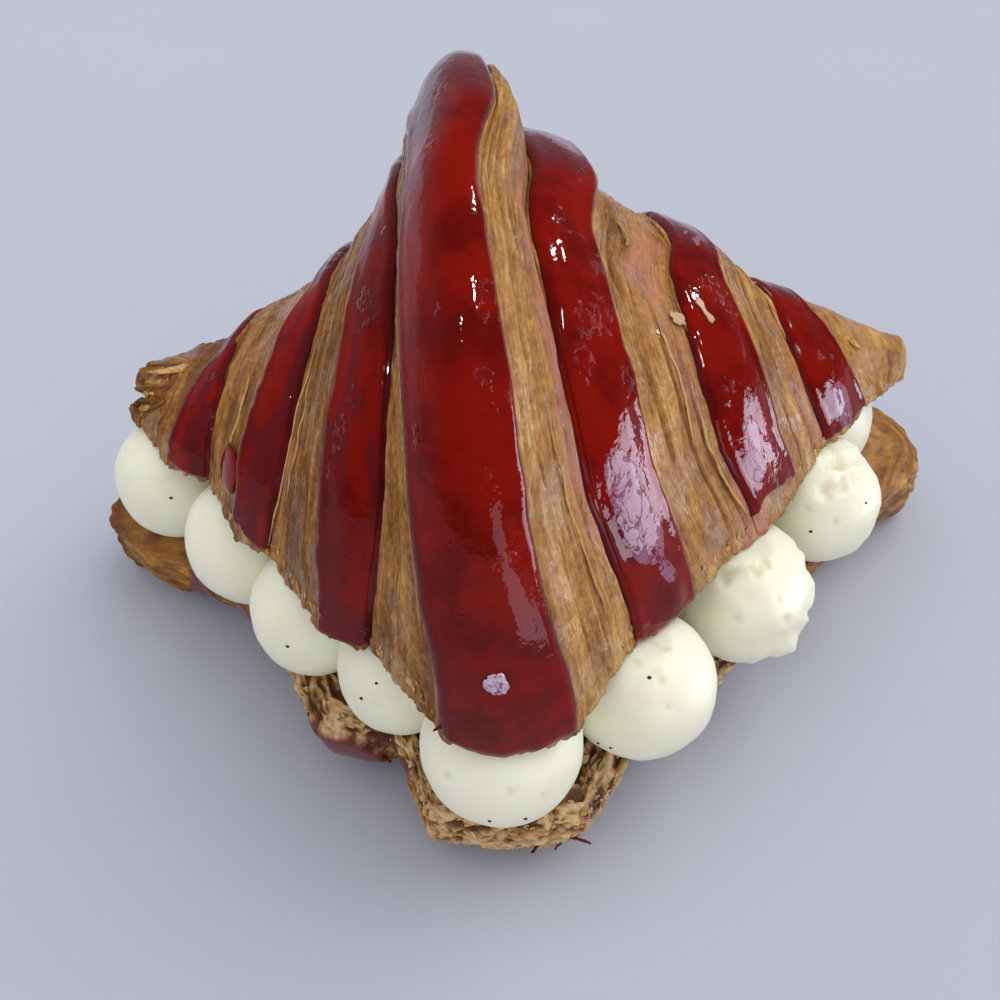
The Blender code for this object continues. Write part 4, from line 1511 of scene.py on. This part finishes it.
def red_curls(material):
    heap = Heap()
    for number, (position, height, reach, width, curl) in enumerate(RED_CURLS):
        spots = position + SEAM_STEP * np.array((-1.0, 0.0, 1.0))
        edge = bottom_surface(spots, np.full(3, 0.05))
        run = unit(edge[2] - edge[0])
        outward = np.array((run[1], -run[0], 0.0))
        root = np.array((edge[1, 0], edge[1, 1], height)) + outward * 0.5
        forward = run * (1.0 if number % 2 else -1.0) + outward * 0.5 + np.array((0.0, 0.0, 0.5))
        heap.add(*leaf(root, forward, outward, (reach, width, CURL_THICK), curl, 500 + number))
    root, outward, down, side = on_top(7.02, 0.012, 0.5)
    heap.add(*leaf(root, side * -0.8 + down * 0.5, outward, (1.8, 0.9, CURL_THICK), 0.4, 510))
    heap.finish("red_curls", material, "glaze", GLAZE_FIELDS)


# Section of a flat patch: shares of its outline and of its thickness, from the top's middle down.
PATCH_SECTION = ((0.35, 1.0), (0.7, 1.0), (0.93, 0.9), (1.0, 0.4), (0.95, -0.4), (0.5, -0.8))


def patch(position, turn, height, outline, thick, seed):
    """Flat ragged patch on the skin. Its outline is (right, down) points in mm as seen from above."""
    centre, outward, down, side = on_top(position, turn, height)
    outline = np.array(outline)
    corners = len(outline)
    spots = np.arange(0.0, corners, 0.25)
    closed = np.vstack((outline, outline[:1]))
    numbers = np.arange(corners + 1)
    ring = np.stack([np.interp(spots, numbers, closed[:, axis]) for axis in (0, 1)], -1)
    ring = soften(np.vstack((ring[-3:], ring, ring[:3])), 3, 0)[3:-3]
    ring = ring * (1.0 + 0.10 * noise(spots * 1.7, 0.0, seed=seed))[:, None]
    rings = []
    for size, lift in PATCH_SECTION:
        flat = ring * size
        level = lift * thick - 0.035 * (norm(ring) * size) ** 2
        level = level + 0.12 * thick * noise(*(flat.T * 3.0), seed=seed + 1)
        rings.append(centre + side * flat[:, :1] + down * flat[:, 1:] + outward * level[:, None])
    return closed_ball(np.array(rings))


SUGAR_OVAL = (
    (-1.5, 0.3), (-1.3, -0.9), (-0.8, -1.3), (-0.5, -1.9), (0.2, -1.8), (0.8, -1.9), (1.4, -1.0),
    (1.3, -0.1), (1.6, 0.6), (1.0, 1.3), (0.8, 1.9), (0.2, 1.7), (-0.4, 1.9), (-0.9, 1.3),
)
BONE = (
    (-0.9, -1.9), (-0.3, -2.2), (0.2, -1.9), (0.3, -1.2), (0.1, -0.5), (0.3, 0.4), (0.7, 0.9),
    (1.2, 1.2), (1.1, 1.9), (0.5, 2.2), (0.1, 1.8), (-0.1, 1.0), (-0.4, 0.2), (-0.6, -0.8), (-1.0, -1.3),
)
BEIGE_STAR = (
    (-1.7, -0.4), (-1.2, -1.1), (-0.5, -0.7), (0.1, -1.3), (0.7, -0.8), (1.6, -0.9), (1.9, -0.1),
    (1.3, 0.4), (1.5, 1.1), (0.6, 0.9), (0.1, 1.3), (-0.6, 0.8), (-1.4, 0.6), (-1.0, 0.1),
)
GLAZE_DIAMOND = (
    (-4.6, 0.4), (-3.9, -1.0), (-2.0, -2.2), (-1.4, -4.0), (1.5, -3.6), (3.9, -1.6), (4.2, 0.8),
    (2.4, 3.2), (-0.6, 3.4), (-3.3, 2.2),
)


# Patches of each piece: place, height over the skin, outline, thickness and seed.
SUGAR_PATCHES = ((7.46, 0.053, GLAZE_THICK + 0.05, SUGAR_OVAL, 0.22, 71),)
FLAKE_PATCHES = (
    (11.31, 0.334, GLAZE_THICK + 0.05, BONE, 0.16, 72),
    (10.90, 0.330, 0.42, BEIGE_STAR, 0.20, 73),
)
CHIP_PATCHES = ((2.73, 0.110, 0.80, GLAZE_DIAMOND, 0.30, 84),)


def surface_patches(name, rows, material, slot, field_names=()):
    heap = Heap()
    for row in rows:
        heap.add(*patch(*row))
    heap.finish(name, material, slot, field_names)


def vanilla_seeds(spots, material):
    heap = Heap()
    chance = np.random.default_rng(37)
    shape = ball_grid(8, 6)
    for spot in spots:
        size = np.array(VANILLA_SIZE) * chance.uniform(0.85, 1.15)
        heap.add(*closed_ball(shape * size + spot))
    heap.finish("vanilla_seeds", material, "cream")


# Floor, light and camera -----------------------------------------------------

CAMERA_PLACE = (-3.80 + SHIFT_X, -128.93 + SHIFT_Y, 142.67)
CAMERA_PITCH = 46.0
CAMERA_HEADING = -2.0
# The lens is as long as the sensor is wide, which is a focal length of 1000 px in the photo.
CAMERA_LENS = 36.0
CAMERA_NEAR = 0.005
FLOOR_REACH = 900.0
FLOOR_LINES = 24
FLOOR_LEVEL = -0.02


def make_floor():
    line = np.linspace(-FLOOR_REACH, FLOOR_REACH, FLOOR_LINES)
    x, y = np.meshgrid(line, line)
    places = np.stack((x, y, np.full(x.shape, FLOOR_LEVEL)), -1).reshape(-1, 3)
    index = np.arange(x.size).reshape(x.shape)
    quads = np.stack((index[:-1, :-1], index[:-1, 1:], index[1:, 1:], index[1:, :-1]), axis=-1)
    mesh = bpy.data.meshes.new("floor")
    mesh.from_pydata((places * MM).tolist(), [], quads.reshape(-1, 4).tolist())
    mesh.materials.append(floor_material())
    new_object("floor", mesh)


def aim(thing, start, target):
    start = Vector(start) * MM
    thing.location = start
    thing.rotation_euler = (Vector(target) * MM - start).to_track_quat("-Z", "Y").to_euler()


def new_light(name, kind, power, colour):
    data = bpy.data.lights.new(name, kind)
    data.energy = power
    data.color = colour
    light = new_object(name, data)
    light.visible_camera = False
    return light


def shine(name, place, target, size, power, colour):
    """Panel that only shows as a reflection in glossy surfaces."""
    light = new_light(name, "AREA", power, colour)
    light.data.shape = "RECTANGLE"
    light.data.size, light.data.size_y = size[0] * MM, size[1] * MM
    light.visible_diffuse = False
    aim(light, place, target)


def toward(middle, azimuth, elevation, distance):
    """Point seen from the middle at an azimuth from the front towards the right, in degrees."""
    turn, lift = math.radians(azimuth), math.radians(elevation)
    return (
        middle[0] + distance * math.sin(turn) * math.cos(lift),
        middle[1] - distance * math.cos(turn) * math.cos(lift),
        middle[2] + distance * math.sin(lift),
    )


# Brightness of the pale room for what it lights, from below left to above right, and for what is
# mirrored in it, from its dim overhead front to its bright back and left.
ROOM_LOW, ROOM_HIGH = 0.80, 0.93
MIRROR_DIM, MIRROR_BRIGHT = 0.05, 0.34
KEY_STRENGTH = 1.08
KEY_SPREAD = 50.0
ROOM_COLOUR, KEY_COLOUR = (0.93, 0.92, 1.0), (1.0, 0.98, 0.95)
WINDOW_COLOUR, LAMP_COLOUR = (0.84, 0.82, 1.0), (1.0, 0.97, 0.93)
# Ways that the room grows brighter.
LIT_WAY, MIRRORED_WAY = (0.50, 0.25, 0.83), (-0.42, 0.72, -0.55)
# Azimuth, elevation and distance of the key light.
KEY_FROM = (112.0, 58.0, 600.0)
# The croissant's middle, and small lamps round it that give the glints: azimuth and elevation.
MIDDLE = (0.0, -10.0, 45.0)
LAMPS = ((77.0, 56.0), (-20.0, 60.0), (122.0, 44.0))
LAMP_SIZE, LAMP_POWER, LAMP_DISTANCE = (26.0, 26.0), 1.10, 500.0
# Windows that are mirrored in the glaze: name, place, target, size and power.
WINDOWS = (
    ("window_right", (232.0, -60.0, 30.0), (10.0, -30.0, 50.0), (190.0, 64.0), 0.52),
    ("window_low", (36.0, -102.0, 51.0), (-5.0, -45.0, 62.0), (24.0, 66.0), 0.020),
)


def room_light():
    """Pale, even room, with a dimmer image of it in the wet surfaces."""
    world = bpy.data.worlds.new("room")
    bpy.context.scene.world = world
    world.use_nodes = True
    room = NodeTree(world.node_tree)
    direction = room.node("TexCoord", "Generated", {})

    def fade(along, low, high, dim, bright):
        lean = room.node("VectorMath", "Value", {0: direction, 1: along}, operation="DOT_PRODUCT")
        return room.span(lean, low, high, dim, bright)

    lit = fade(LIT_WAY, -0.8, 0.9, ROOM_LOW, ROOM_HIGH)
    mirrored = fade(MIRRORED_WAY, -0.45, 0.65, MIRROR_DIM, MIRROR_BRIGHT)
    glossy = room.node("LightPath", "Is Glossy Ray", {})
    background = world.node_tree.nodes["Background"]
    room.feed(background.inputs["Strength"], room.node("Mix", 0, {0: glossy, 2: lit, 3: mirrored}))
    background.inputs["Color"].default_value = (*ROOM_COLOUR, 1.0)


def light_scene():
    room_light()
    key = new_light("key", "SUN", KEY_STRENGTH, KEY_COLOUR)
    key.data.angle = math.radians(KEY_SPREAD)
    key.visible_glossy = False
    aim(key, toward(MIDDLE, *KEY_FROM), MIDDLE)
    for row in WINDOWS:
        shine(*row, WINDOW_COLOUR)
    for number, (azimuth, elevation) in enumerate(LAMPS):
        place = toward(MIDDLE, azimuth, elevation, LAMP_DISTANCE)
        shine("lamp_{}".format(number), place, MIDDLE, LAMP_SIZE, LAMP_POWER, LAMP_COLOUR)
    bpy.context.scene.view_settings.view_transform = "Standard"


def place_camera():
    data = bpy.data.cameras.new("camera")
    data.lens = data.sensor_width = CAMERA_LENS
    data.clip_start = CAMERA_NEAR
    camera = new_object("camera", data)
    camera.location = [value * MM for value in CAMERA_PLACE]
    camera.rotation_euler = (math.radians(CAMERA_PITCH), 0.0, math.radians(CAMERA_HEADING))
    bpy.context.scene.camera = camera


def build():
    crust, glaze, cream, crumb = (
        crust_material(), glaze_material(), cream_material(), crumb_material()
    )
    top_body(crumb)
    for interval in range(LAST):
        crust_interval(interval, crust)
    for number in range(len(BANDS)):
        glaze_band(number, glaze)
    spots = []
    for number, name in enumerate(FRONT_BALLS):
        spots += cream_ball(name, BALL_AROUND, BALL_UP, 800 + 10 * number, cream)
    for number, name in enumerate(REAR_BALLS):
        spots += cream_ball(name, REAR_AROUND, REAR_UP, 900 + 10 * number, cream)
    cream_core(cream)
    torn_crumb(*bottom_half(crumb), crumb)
    cut_shreds(crust)
    curled_flakes(crust)
    loose_threads(crust)
    red_curls(glaze)
    surface_patches("sugar_crust", SUGAR_PATCHES, sugar_material(), "glaze")
    surface_patches("beige_flakes", FLAKE_PATCHES, flake_material(), "crust")
    surface_patches("glaze_diamond", CHIP_PATCHES, glaze, "glaze", GLAZE_FIELDS)
    vanilla_seeds(spots, speck_material())
    make_floor()
    light_scene()
    place_camera()


build()
